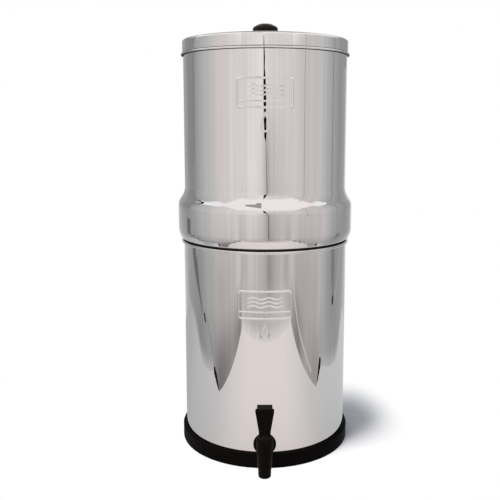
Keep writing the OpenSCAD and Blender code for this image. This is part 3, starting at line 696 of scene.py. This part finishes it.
# Pressed plate and mark on the upper chamber: stamped with the same tool as on the lower one, and bent to its
# own wall.
upper_plate = pressed_plate("upper_chamber_plate", 118.0, 511.4, 500.8, 474.0)
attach(upper_plate, "upper_unit")

# Filter elements: black pressed-carbon candles with a domed top and a hollow core, glued into moulded caps
# with a threaded post. Matt and slightly porous, with a small step where the candle stands in the glue.
candle_corners = [(15, 294.1, 0.3), (34.5, 294.1, 0.5), (34.5, 301.5, 0.2), (34.2, 302.1, 0.2),
                  (34.5, 302.7, 0.2), (34.5, 524.1, 10), (22, 524.1, 3), (20.5, 523.4, 1.5), (0, 523.4),
                  (0, 509), (15, 509, 4)]
cap_corners = [(0, 290.1), (36.2, 290.1, 1.5), (36.2, 302.1, 0.5), (34.62, 302.1, 0.3), (34.62, 294.1, 0.3),
               (0, 294.1)]
rib_count, rib_r, rib_out, rib_deep, rib_z = 36, 0.7, 35.75, 8.5, 296.3
post_r, post_core_r, post_bore_r = 5.5, 4.9, 2.5
carbon_black = moulded("carbon_black", (0.016, 0.016, 0.016, 1), (0.034, 0.033, 0.032, 1),
                       rough=(0.85, 0.95), grain=1.1, deep=0.16)
fitting_black = moulded("fitting_black", (0.011, 0.0105, 0.0105, 1), (0.017, 0.0165, 0.016, 1),
                        rough=(0.34, 0.48), grain=0.4, deep=0.012)


def post_core(name, low):
    """The plain core of a threaded post, from low up to the floor of the cap."""
    corners = [(0, low), (post_core_r, low, 0.6), (post_core_r, 291, 0.2), (0, 291)]
    return turned(name, corners, steps=64)


def seated(source, name, turn, body, finish, node):
    """A copy of the source with its own mesh, at one of the floor's four holes."""
    piece = source.copy()
    piece.data = source.data.copy()
    piece.name = piece.data.name = name
    bpy.context.scene.collection.objects.link(piece)
    a = math.radians(turn)
    piece.data.transform(Matrix.Rotation(a, 4, "Z") @ Matrix.Translation((floor_hole_place * mm, 0, 0)))
    dress(piece, finish)
    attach(piece, body)
    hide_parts(node)
    return piece


candle = spun("candle", held(rounded(candle_corners)), steps=128)
grip_ribs = [cylinder(12, rib_r, rib_deep, place) for place in spread_round(rib_count, rib_out, rib_z)]
cap_shell = turned("cap_shell", cap_corners, steps=128)
cap_parts = [cap_shell, post_core("cap_post", 252.3), thread("post_thread", post_r, 253.2, 17), *grip_ribs]
element_cap = one_moulding("element_cap", cap_parts, 0.5, rounds=2)
cut(element_cap, plain_bar(post_bore_r, 250, 297, steps=48))
smooth(45)
for number, turn in ((1, 0), (2, 180)):
    seated(candle, f"filter_candle_{number}", turn, "upper_unit", carbon_black,
           f"filter_element_{number}")
    seated(element_cap, f"filter_cap_{number}", turn, "upper_unit", fitting_black,
           f"filter_base_{number}")

# Hole plugs: moulded in one from the same plastic, with a pan head and a threaded post. They close the two
# holes that have no element.
plug_corners = [(0, 290.1), (11.5, 290.1, 0.6), (11.5, 294.6, 1.5), (7.4, 294.6, 0.3), (6.8, 294.0, 0.3),
                (0, 294.0)]
plug_head = turned("plug_head", plug_corners, steps=96)
plug_parts = [plug_head, post_core("plug_post", 265.3), thread("plug_thread", post_r, 266.2, 11)]
hole_plug = one_moulding("hole_plug", plug_parts, 0.35, rounds=2)
for number, turn in ((1, 270), (2, 90)):
    seated(hole_plug, f"blank_plug_{number}", turn, "upper_unit", fitting_black,
           f"hole_plug_{number}")

# Floor washers: soft rubber rings between the floor and the caps and plugs. They are squeezed a little, so
# that their edges belly out.
washer_corners = [(6.1, 287.1, 0.3), (13.7, 287.1, 0.5), (14.0, 288.6, 2), (13.7, 290.1, 0.5),
                  (6.1, 290.1, 0.3)]
floor_holes = (("filter", 1, 0), ("filter", 2, 180), ("hole_plug", 1, 270), ("hole_plug", 2, 90))
floor_washer = turned("floor_washer", washer_corners, closed=True, steps=96)
for kind, number, turn in floor_holes:
    seated(floor_washer, f"{kind}_seal_{number}", turn, "upper_unit", seal_black,
           f"{kind}_washer_{number}")

# Wing nuts: moulded plastic nuts with a flange and two rounded wings. They are run up the posts by hand
# against the floor from below.
hub_corners = [(0, 286.3), (11.5, 286.3, 0.3), (11.5, 284.3, 0.5), (9.5, 284.3, 0.6), (9.5, 277.3, 1),
               (0, 277.3)]
wing_corners = [(8.5, 284.3), (18, 276.3), (18, 271.3), (16, 270.3), (12, 270.3), (9.5, 280.3)]
nut_hub = turned("nut_hub", hub_corners, steps=96)
nut_wings = [slab("nut_wing", [(way * x, z) for x, z in wing_corners], "XZ", -1.5, 3, edge=0.7)
             for way in (1, -1)]
wing_nut = one_moulding("wing_nut", [nut_hub, *nut_wings], 0.35, rounds=2)
cut(wing_nut, plain_bar(post_r + 0.05, 275, 288, steps=64))
smooth(45)
for kind, number, turn in floor_holes:
    seated(wing_nut, f"{kind}_wing_{number}", turn, "upper_unit", fitting_black,
           f"{kind}_wing_nut_{number}")
for pattern in (candle, element_cap, hole_plug, floor_washer, wing_nut):
    bpy.data.objects.remove(pattern)

# Lid: a flat crowned cap spun from thinner sheet, with a skirt that slips over the upper chamber's rim and a
# small bead rolled at its foot.
lid_sheet = 0.7
lid_corners = [(119.95, 569.9), (120.52, 569.9, 0.55), (120.52, 568.0, 0.6), (119.3, 568.0, 0.6),
               (119.3, 588.7, 3), (59.65, 590.7, 1200), (2.7, 590.7)]
lid = spun("lid_steel", sheet_outline(lid_corners, lid_sheet, 570.6, 572, 0.7))
dress(lid, polished_steel)
# Painted shade: the skirt's inside, the bead's underside and the crease above it are painted nearly black,
# for the dark lines of the gap under the lid.
for ring in ((118, 119, 560, 580), (119, 119.4, 566, 571.8), (119, 121.3, 566, 567.8),
             (119, 120.6, 566, 570.4)):
    paint_gap_shade(lid, *ring)
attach(lid, "lid_unit")
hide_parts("lid")

# Lid knob: a turned mushroom of black phenolic with a domed top, pulled down on a rubber washer by a screw
# from inside the lid.
knob_corners = [(0, 591.7), (10, 591.7, 0.75), (8.5, 594.7, 3), (8.5, 602.1, 2), (18.25, 602.1, 2.2),
                (18.25, 608.15, 4.95), (9.125, 613.1, 9.125), (0, 613.1)]
knob_phenolic = moulded("knob_phenolic", (0.0040, 0.0030, 0.0024, 1), (0.0060, 0.0046, 0.0038, 1),
                        rough=(0.12, 0.18), grain=0.8, deep=0.003, shine=0.12)
lid_knob = turned("lid_knob_black", knob_corners, steps=128)
dress(lid_knob, knob_phenolic)
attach(lid_knob, "lid_unit")
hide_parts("lid_knob")

# Knob washer and screw: a thin rubber ring on the lid, and a pan-head screw with a cross slot and a pressed
# washer, put in from under the lid.
ring_corners = [(2.75, 590.7, 0.2), (10, 590.7, 0.2), (10, 591.7, 0.4), (2.75, 591.7, 0.2)]
screw_corners = [(0, 587), (4.25, 587, 1.3), (4.25, 589, 0.2), (6.5, 589, 0.3), (6.5, 590, 0.2),
                 (2.45, 590, 0.1), (2.45, 599, 0.4), (1.9, 599.7), (0, 599.7)]
slot_wide, slot_long, slot_deep, slot_z = 0.8, 4.4, 2.2, 587
knob_washer = turned("lid_knob_ring", ring_corners, closed=True, steps=96)
dress(knob_washer, seal_black)
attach(knob_washer, "lid_unit")
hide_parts("lid_knob_washer")
knob_screw = turned("lid_knob_pan_screw", screw_corners, steps=96)
for size in ((slot_wide, slot_long), (slot_long, slot_wide)):
    pick()
    bpy.ops.mesh.primitive_cube_add(size=1, location=(0, 0, slot_z * mm))
    bpy.context.object.scale = (size[0] * mm, size[1] * mm, slot_deep * mm)
    bpy.ops.object.transform_apply(location=True, scale=True)
    cut(knob_screw, bpy.context.object)
smooth(38)
dress(knob_screw, turned_steel)
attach(knob_screw, "lid_unit")
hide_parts("lid_knob_screw")

# Studio: a light tent round the filter, of flat glowing cards seen only as they are mirrored in the steel,
# the knob and the tap. Their brightness is painted light, their folds, seams and gaps are painted shade, and
# a front wall closes it.
tent_top, cloth_gap = 1.25, 0.985
wide_fold_shade, fine_fold_shade, fold_shade_hang, lit_rise = 22.0, 90.0, 1.5, 0.07
white, seam_warmth = (1.0, 1.0, 1.0, 1), 0.97
curtain_tint, side_tint, back_tint = (1.03, 0.965, 0.96), (0.99, 0.99, 1.01), (1.0, 1.0, 1.0)


def ramp(tree, source, low, high, stops):
    """A colour ramp along one coordinate, with stops (place, brightness or colour)."""
    colours = add_node(tree, "ValToRGB", {"Fac": mapped(tree, source, low, high)})
    elements = colours.color_ramp.elements
    while len(elements) < len(stops):
        elements.new(0.5)
    for element, (place, value) in zip(elements, stops):
        element.position = min(1.0, max(0.0, (place - low) / (high - low)))
        element.color = (*value, 1) if isinstance(value, tuple) else (value, value, value, 1)
    return colours.outputs["Color"]


def rise(tree, source, low, high):
    """A smooth step from 0 to 1 between two values."""
    return mapped(tree, source, low, high, interpolation_type="SMOOTHSTEP")


def blend(tree, first, second, how="MULTIPLY", factor=1.0):
    """Two colours blended; each of them, and the factor, is a value or a socket."""
    return add_node(tree, "Mix", {0: factor, 6: first, 7: second}, data_type="RGBA", blend_type=how,
                    clamp_result=False).outputs[2]


def glowing(name):
    """An emission material that isn't sampled as a lamp, with its node tree and its colour's socket."""
    material = bpy.data.materials.new(name)
    material.use_nodes = True
    tree = material.node_tree
    tree.nodes.remove(tree.nodes["Principled BSDF"])
    glow = add_node(tree, "Emission")
    tree.links.new(glow.outputs[0], tree.nodes["Material Output"].inputs["Surface"])
    material.cycles.emission_sampling = "NONE"
    return material, tree, glow.inputs["Color"]


def place_in(tree):
    """The place on a card, whole and split in X, Y and Z."""
    place = add_node(tree, "TexCoord").outputs["Object"]
    return place, add_node(tree, "SeparateXYZ", {0: place}).outputs


def card_of(name, corners, faces, material):
    """A card of the tent, seen by glossy rays only."""
    card = made_of(name, corners, faces)
    dress(card, material)
    card.visible_camera = card.visible_diffuse = card.visible_shadow = False
    card.visible_transmission = card.visible_volume_scatter = False


def plain_card(name, corners, faces, colour):
    """A card of the tent in one even colour."""
    material, _, glow_colour = glowing(name)
    glow_colour.default_value = (*colour, 1)
    card_of(name, corners, faces, material)


def tent_card(name, feet, axis, tint, levels, fold_shade=0.04, lit_from=0.615):
    """An upright glowing card of tent cloth over its feet (x, y) in metres. Its painted brightness changes
    along one axis, level by level (height, stops). Stripes of painted shade stand in for vertical folds, and
    above lit_from it is painted white, as if evenly lit overhead."""
    material, tree, colour = glowing(name)
    place, split = place_in(tree)
    along = [f[0 if axis == "X" else 1] for f in feet]
    shade = None
    for height, stops in levels:
        row = ramp(tree, split[axis], min(along), max(along), stops)
        if shade is not None:
            row = blend(tree, shade, row, "MIX", rise(tree, split["Z"], below, height))
        shade, below = row, height
    for size, strength in ((wide_fold_shade, fold_shade), (fine_fold_shade, fold_shade * 0.5)):
        narrow = reckon(tree, "MULTIPLY", place, (size, size, fold_shade_hang), kind="VectorMath")
        hang = add_node(tree, "TexNoise", {"Vector": narrow, "Scale": 1.0, "Detail": 1}).outputs["Fac"]
        shade = blend(tree, shade, mapped(tree, hang, 0.3, 0.7, 1 - strength, 1 + strength))
    shade = blend(tree, shade, white, "MIX", rise(tree, split["Z"], lit_from, lit_from + lit_rise))
    tree.links.new(blend(tree, shade, (*tint, 1)), colour)
    count = len(feet)
    card_of(name, [(x, y, 0) for x, y in feet] + [(x, y, tent_top) for x, y in feet],
            [(i, i + 1, count + i + 1, count + i) for i in range(count - 1)], material)


def seam(name, brightness, line):
    """A seam, fold or gap painted as a flat ribbon of one brightness through points (x, y, height, width),
    just in front of the cloth.
    """
    points = [Vector((x * cloth_gap, y * cloth_gap, z)) for x, y, z, _ in line]
    corners = []
    for i, point in enumerate(points):
        run = points[min(i + 1, len(points) - 1)] - points[max(i - 1, 0)]
        side = Vector((point.x, point.y, 0)).cross(run).normalized() * line[i][3] / 2
        corners += [point + side, point - side]
    plain_card(name, corners, [(2 * i, 2 * i + 1, 2 * i + 3, 2 * i + 2) for i in range(len(line) - 1)],
               (brightness, brightness * seam_warmth, brightness * seam_warmth))


left_high = [(-0.18, 0.65), (0.0, 0.47), (0.25, 0.3), (0.6, 0.3)]
right_high = [(-0.14, 0.64), (0.0, 0.46), (0.2, 0.34), (0.6, 0.4)]
tent_card("tent_left", [(-0.423, -0.183), (-0.43, -0.123), (-0.454, -0.066), (-0.483, -0.017),
                        (-0.542, 0.052), (-0.607, 0.114), (-0.699, 0.246), (-0.7, 0.6)], "Y", side_tint, [
    (0.0, [(-0.18, 0.52), (0.6, 0.5)]),
    (0.035, [(-0.18, 0.4), (0.0, 0.31), (0.6, 0.4)]),
    (0.17, [(-0.18, 0.5), (0.0, 0.34), (0.3, 0.36), (0.6, 0.45)]),
    (0.38, left_high),
    (0.63, left_high),
    (0.66, [(-0.18, 1.0), (0.04, 1.0), (0.1, 0.31), (0.6, 0.27)])], lit_from=0.74)
tent_card("tent_right", [(0.455, -0.14), (0.458, -0.059), (0.444, 0.035), (0.437, 0.129), (0.459, 0.227),
                         (0.538, 0.394), (0.58, 0.6)], "Y", side_tint, [
    (0.0, [(-0.14, 0.52), (0.6, 0.52)]),
    (0.035, [(-0.14, 0.45), (0.1, 0.36), (0.6, 0.46)]),
    (0.18, [(-0.14, 0.56), (-0.07, 0.44), (0.06, 0.3), (0.15, 0.36), (0.6, 0.42)]),
    (0.38, right_high),
    (0.63, right_high),
    (0.66, [(-0.14, 1.0), (0.08, 1.0), (0.14, 0.33), (0.6, 0.36)])], lit_from=0.74)
tent_card("tent_back", [(-0.7, 0.6), (0.58, 0.6)], "X", back_tint, [
    (0.03, [(-0.7, 0.45), (-0.4, 0.6), (-0.28, 0.9), (0.2, 0.65), (0.58, 0.5)]),
    (0.18, [(-0.7, 0.4), (-0.3, 0.65), (0.25, 0.8), (0.58, 0.4)]),
    (0.38, [(-0.7, 0.35), (-0.3, 0.42), (0.25, 1.0), (0.45, 0.5), (0.58, 0.36)])], lit_from=1.0)
tent_card("tent_left_flap", [(-0.423, -0.183), (-0.3, -0.2)], "X", curtain_tint, [
    (0.02, [(-0.42, 0.36), (-0.3, 0.24)]),
    (0.16, [(-0.42, 0.5), (-0.3, 0.52)]),
    (0.38, [(-0.42, 0.64), (-0.3, 0.72)])])
tent_card("tent_right_flap", [(0.34, -0.15), (0.455, -0.14)], "X", curtain_tint, [
    (0.03, [(0.34, 0.38), (0.455, 0.44)]),
    (0.15, [(0.34, 0.52), (0.455, 0.56)]),
    (0.38, [(0.34, 0.66), (0.455, 0.64)])])
tent_card("tent_left_curtain", [(-0.3, -0.2), (-0.385, -0.68)], "Y", curtain_tint, [
    (0.02, [(-0.68, 0.45), (-0.6, 0.27), (-0.4, 0.35), (-0.2, 0.2)]),
    (0.16, [(-0.68, 0.58), (-0.57, 0.7), (-0.4, 0.56), (-0.2, 0.48)]),
    (0.38, [(-0.68, 0.8), (-0.4, 0.8), (-0.2, 0.72)])])
tent_card("tent_right_curtain", [(0.34, -0.15), (0.455, -0.68)], "Y", curtain_tint, [
    (0.02, [(-0.68, 0.42), (-0.45, 0.25), (-0.3, 0.44), (-0.15, 0.36)]),
    (0.16, [(-0.68, 0.7), (-0.5, 0.48), (-0.15, 0.5)]),
    (0.38, [(-0.68, 0.76), (-0.34, 0.66), (-0.15, 0.65)])])
tent_card("tent_front", [(-0.385, -0.68), (0.455, -0.68)], "X", curtain_tint, [
    (0.0, [(-0.38, 0.76), (0.45, 0.76)]),
    (0.04, [(-0.38, 0.6), (-0.1, 0.52), (0.3, 0.64), (0.45, 0.46)]),
    (0.15, [(-0.38, 0.5), (-0.2, 0.66), (0.0, 0.5), (0.06, 0.34), (0.14, 0.46), (0.25, 0.6), (0.35, 0.46),
            (0.45, 0.66)]),
    (0.38, [(-0.38, 0.78), (-0.15, 0.9), (-0.04, 0.75), (0.03, 0.46), (0.09, 0.62), (0.45, 0.76)]),
    (0.58, [(-0.38, 0.76), (-0.06, 0.92), (0.06, 0.8), (0.45, 0.76)])], fold_shade=0.05, lit_from=0.645)
# The ribbons are painted shade and light on the cloth: dark for the folds, knots, gaps, notch and slit, paler
# for the edges, lines, hem and corners.
seam("tent_left_fold", 0.17, [
    (-0.655, 0.19, 0.26, 0.18), (-0.655, 0.19, 0.2, 0.16), (-0.63, 0.15, 0.165, 0.07),
    (-0.54, 0.05, 0.135, 0.025), (-0.49, -0.01, 0.112, 0.01), (-0.47, -0.04, 0.1, 0.004)])
seam("tent_left_knot", 0.006, [
    (-0.463, -0.052, 0.108, 0.006), (-0.456, -0.062, 0.101, 0.016), (-0.448, -0.077, 0.094, 0.006)])
seam("tent_left_edge", 0.27, [
    (-0.452, -0.075, 0.12, 0.003), (-0.428, -0.13, 0.076, 0.006), (-0.424, -0.17, 0.036, 0.007),
    (-0.405, -0.186, 0.008, 0.006)])
seam("tent_left_line", 0.15, [
    (-0.7, 0.27, 0.38, 0.012), (-0.7, 0.25, 0.55, 0.012), (-0.69, 0.22, 0.7, 0.012)])
seam("tent_left_gap", 0.006, [
    (-0.415, -0.178, 0.003, 0.02), (-0.385, -0.186, 0.004, 0.035), (-0.345, -0.193, 0.006, 0.028),
    (-0.31, -0.199, 0.004, 0.008)])
seam("tent_right_fold", 0.24, [
    (0.442, 0.05, 0.26, 0.06), (0.442, 0.055, 0.18, 0.05), (0.442, 0.063, 0.135, 0.012)])
seam("tent_right_knot", 0.006, [
    (0.442, 0.052, 0.141, 0.012), (0.442, 0.056, 0.133, 0.034), (0.442, 0.06, 0.124, 0.01)])
seam("tent_right_edge", 0.55, [
    (0.468, 0.245, 0.21, 0.006), (0.441, 0.148, 0.163, 0.006), (0.44, 0.104, 0.128, 0.006)])
seam("tent_right_line", 0.24, [(0.444, 0.036, 0.34, 0.01), (0.444, 0.034, 0.72, 0.008)])
seam("tent_curtain_line", 0.42, [(0.38, -0.334, 0.3, 0.009), (0.38, -0.334, 0.75, 0.007)])
seam("tent_right_gap", 0.006, [
    (0.456, -0.118, 0.016, 0.008), (0.44, -0.132, 0.01, 0.034), (0.405, -0.14, 0.006, 0.03),
    (0.365, -0.148, 0.003, 0.012)])
seam("tent_slit", 0.008, [
    (0.01, -0.68, 0.435, 0.006), (0.004, -0.68, 0.45, 0.036), (-0.001, -0.68, 0.468, 0.028),
    (0.0, -0.68, 0.482, 0.042), (-0.005, -0.68, 0.5, 0.03), (-0.004, -0.68, 0.518, 0.042),
    (-0.009, -0.68, 0.54, 0.03), (-0.01, -0.68, 0.562, 0.034), (-0.015, -0.68, 0.585, 0.014),
    (-0.014, -0.68, 0.605, 0.02), (-0.022, -0.68, 0.65, 0.006)])
seam("tent_slit_foot", 0.18, [
    (0.052, -0.68, 0.2, 0.016), (0.048, -0.68, 0.27, 0.01), (0.022, -0.68, 0.36, 0.008),
    (0.01, -0.68, 0.44, 0.007)])
seam("tent_hem", 0.62, [
    (0.454, -0.673, 0.15, 0.014), (0.426, -0.545, 0.088, 0.012), (0.4, -0.426, 0.054, 0.01),
    (0.373, -0.303, 0.036, 0.008), (0.354, -0.215, 0.019, 0.006)])
seam("tent_left_notch", 0.006, [(-0.6, 0.11, 0.655, 0.03), (-0.54, 0.05, 0.71, 0.11)])
seam("tent_left_corner", 0.31, [(-0.7, 0.44, 0.6, 0.32), (-0.7, 0.44, 1.2, 0.32)])
seam("tent_right_corner", 0.34, [(0.54, 0.42, 0.6, 0.42), (0.54, 0.42, 1.2, 0.42)])

# The tent's roof: a bright glowing card, with a folded grey flap of painted shade under its front edge and a
# grey sheet of painted shade under all that lies behind. The flare of the upper chamber and the lid's edge
# mirror it.
roof_under = tent_top - 0.005
plain_card("tent_high_fold", [(-0.225, -0.67, roof_under), (-0.07, -0.67, 0.97), (-0.07, -0.67, roof_under),
                              (-0.06, -0.48, roof_under), (-0.38, -0.485, roof_under)],
           [(0, 1, 2), (0, 2, 3, 4)], (0.38, 0.37, 0.37))
plain_card("tent_high_shade", [(-1, -0.44, roof_under), (1, -0.44, roof_under), (1, 1, roof_under),
                               (-1, 1, roof_under)], [(0, 1, 2, 3)], (0.42, 0.41, 0.41))
plain_card("tent_roof", [(-1, -1, tent_top), (1, -1, tent_top), (1, 1, tent_top), (-1, 1, tent_top)],
           [(0, 1, 2, 3)], (1.0, 0.98, 0.975))

# The tent's floor: one glowing card of pale cloth, painted lighter and warmer in front, between the curtains,
# and cooler at the sides. It darkens a little towards the filter: painted shade.
cool, warm = (0.60, 0.605, 0.61), (0.83, 0.765, 0.75)
round_stops = [(-125, (0.45, 0.455, 0.465)), (-100, (0.54, 0.545, 0.555)), (-60, (0.62, 0.61, 0.615)),
               (-22, warm), (24, warm), (58, (0.64, 0.62, 0.62)), (80, cool)]
cloth_z = -0.0004
floor_cloth, tree, colour = glowing("tent_floor")
place, split = place_in(tree)
turn = reckon(tree, "ARCTAN2", split["X"], reckon(tree, "MULTIPLY", split["Y"], -1))
round_floor = ramp(tree, reckon(tree, "DEGREES", turn), -180, 180, round_stops)
away = reckon(tree, "LENGTH", place, kind="VectorMath", out="Value")
out_floor = ramp(tree, away, 0.1, 0.8, [(0.12, 0.88), (0.2, 0.97), (0.3, 1.03), (0.45, 1.06)])
tree.links.new(blend(tree, round_floor, out_floor), colour)
cloth_ends = ((-1.6, -2.2), (1.6, -2.2), (1.6, 1.2), (-1.6, 1.2))
card_of("tent_floor", [(x, y, cloth_z) for x, y in cloth_ends], [(0, 1, 2, 3)], floor_cloth)

# Floor: a matt white sheet just under the base ring. To the camera it fades to plain white all round a soft
# shadow at the filter's right side.
shadow_place, shadow_size = (0.135, 0.035, 0), (1.0, 0.5, 1.0)
shadow_in, shadow_out = 0.02, 0.095
matt_white = (0.8, 0.8, 0.8, 1)
pick()
bpy.ops.mesh.primitive_plane_add(size=40, location=(0, 0, -0.0006))
floor = bpy.context.object
floor.name = "floor"
floor_white, tree, surface = shader("floor_white", matt_white, 1.0)
tree.nodes.remove(surface)
matt = add_node(tree, "BsdfDiffuse", {"Color": matt_white})
plain = add_node(tree, "Emission", {"Color": white})
place = add_node(tree, "TexCoord").outputs["Object"]
aside = reckon(tree, "SUBTRACT", place, shadow_place, kind="VectorMath")
squeeze = reckon(tree, "MULTIPLY", aside, shadow_size, kind="VectorMath")
away = reckon(tree, "LENGTH", squeeze, kind="VectorMath", out="Value")
seen = add_node(tree, "LightPath").outputs["Is Camera Ray"]
fade = reckon(tree, "MULTIPLY", rise(tree, away, shadow_in, shadow_out), seen)
both = add_node(tree, "MixShader", {0: fade, 1: matt.outputs[0], 2: plain.outputs[0]})
tree.links.new(both.outputs[0], tree.nodes["Material Output"].inputs["Surface"])
dress(floor, floor_white)
floor.visible_glossy = False

# World and lamp: plain white where the camera or a mirror looks past everything, a dim blue-grey fill for the
# rest, and one wide soft lamp above, a little to the left and in front. The lamp isn't mirrored.
fill_colour, lamp_colour = (0.40, 0.42, 0.48, 1), (1.0, 0.985, 0.96)
lamp_place, lamp_aim, lamp_side, lamp_power = (-0.75, -0.55, 2.2), Vector((0, 0, 0.1)), 1.0, 110
world = bpy.data.worlds.new("studio")
bpy.context.scene.world = world
world.use_nodes = True
tree = world.node_tree
path = add_node(tree, "LightPath").outputs
direct = reckon(tree, "MAXIMUM", path["Is Camera Ray"], path["Is Glossy Ray"])
any_gloss = reckon(tree, "MAXIMUM", direct, path["Is Transmission Ray"])
tree.links.new(blend(tree, fill_colour, white, "MIX", any_gloss), tree.nodes["Background"].inputs["Color"])
lamp_data = bpy.data.lights.new("soft_lamp", "AREA")
lamp_data.shape = "RECTANGLE"
lamp_data.size = lamp_data.size_y = lamp_side
lamp_data.energy = lamp_power
lamp_data.color = lamp_colour
lamp = bpy.data.objects.new("soft_lamp", lamp_data)
bpy.context.scene.collection.objects.link(lamp)
lamp.location = lamp_place
lamp.rotation_euler = (lamp_aim - lamp.location).to_track_quat("-Z", "Y").to_euler()
lamp.visible_glossy = False

bpy.context.scene.view_settings.view_transform = "Standard"
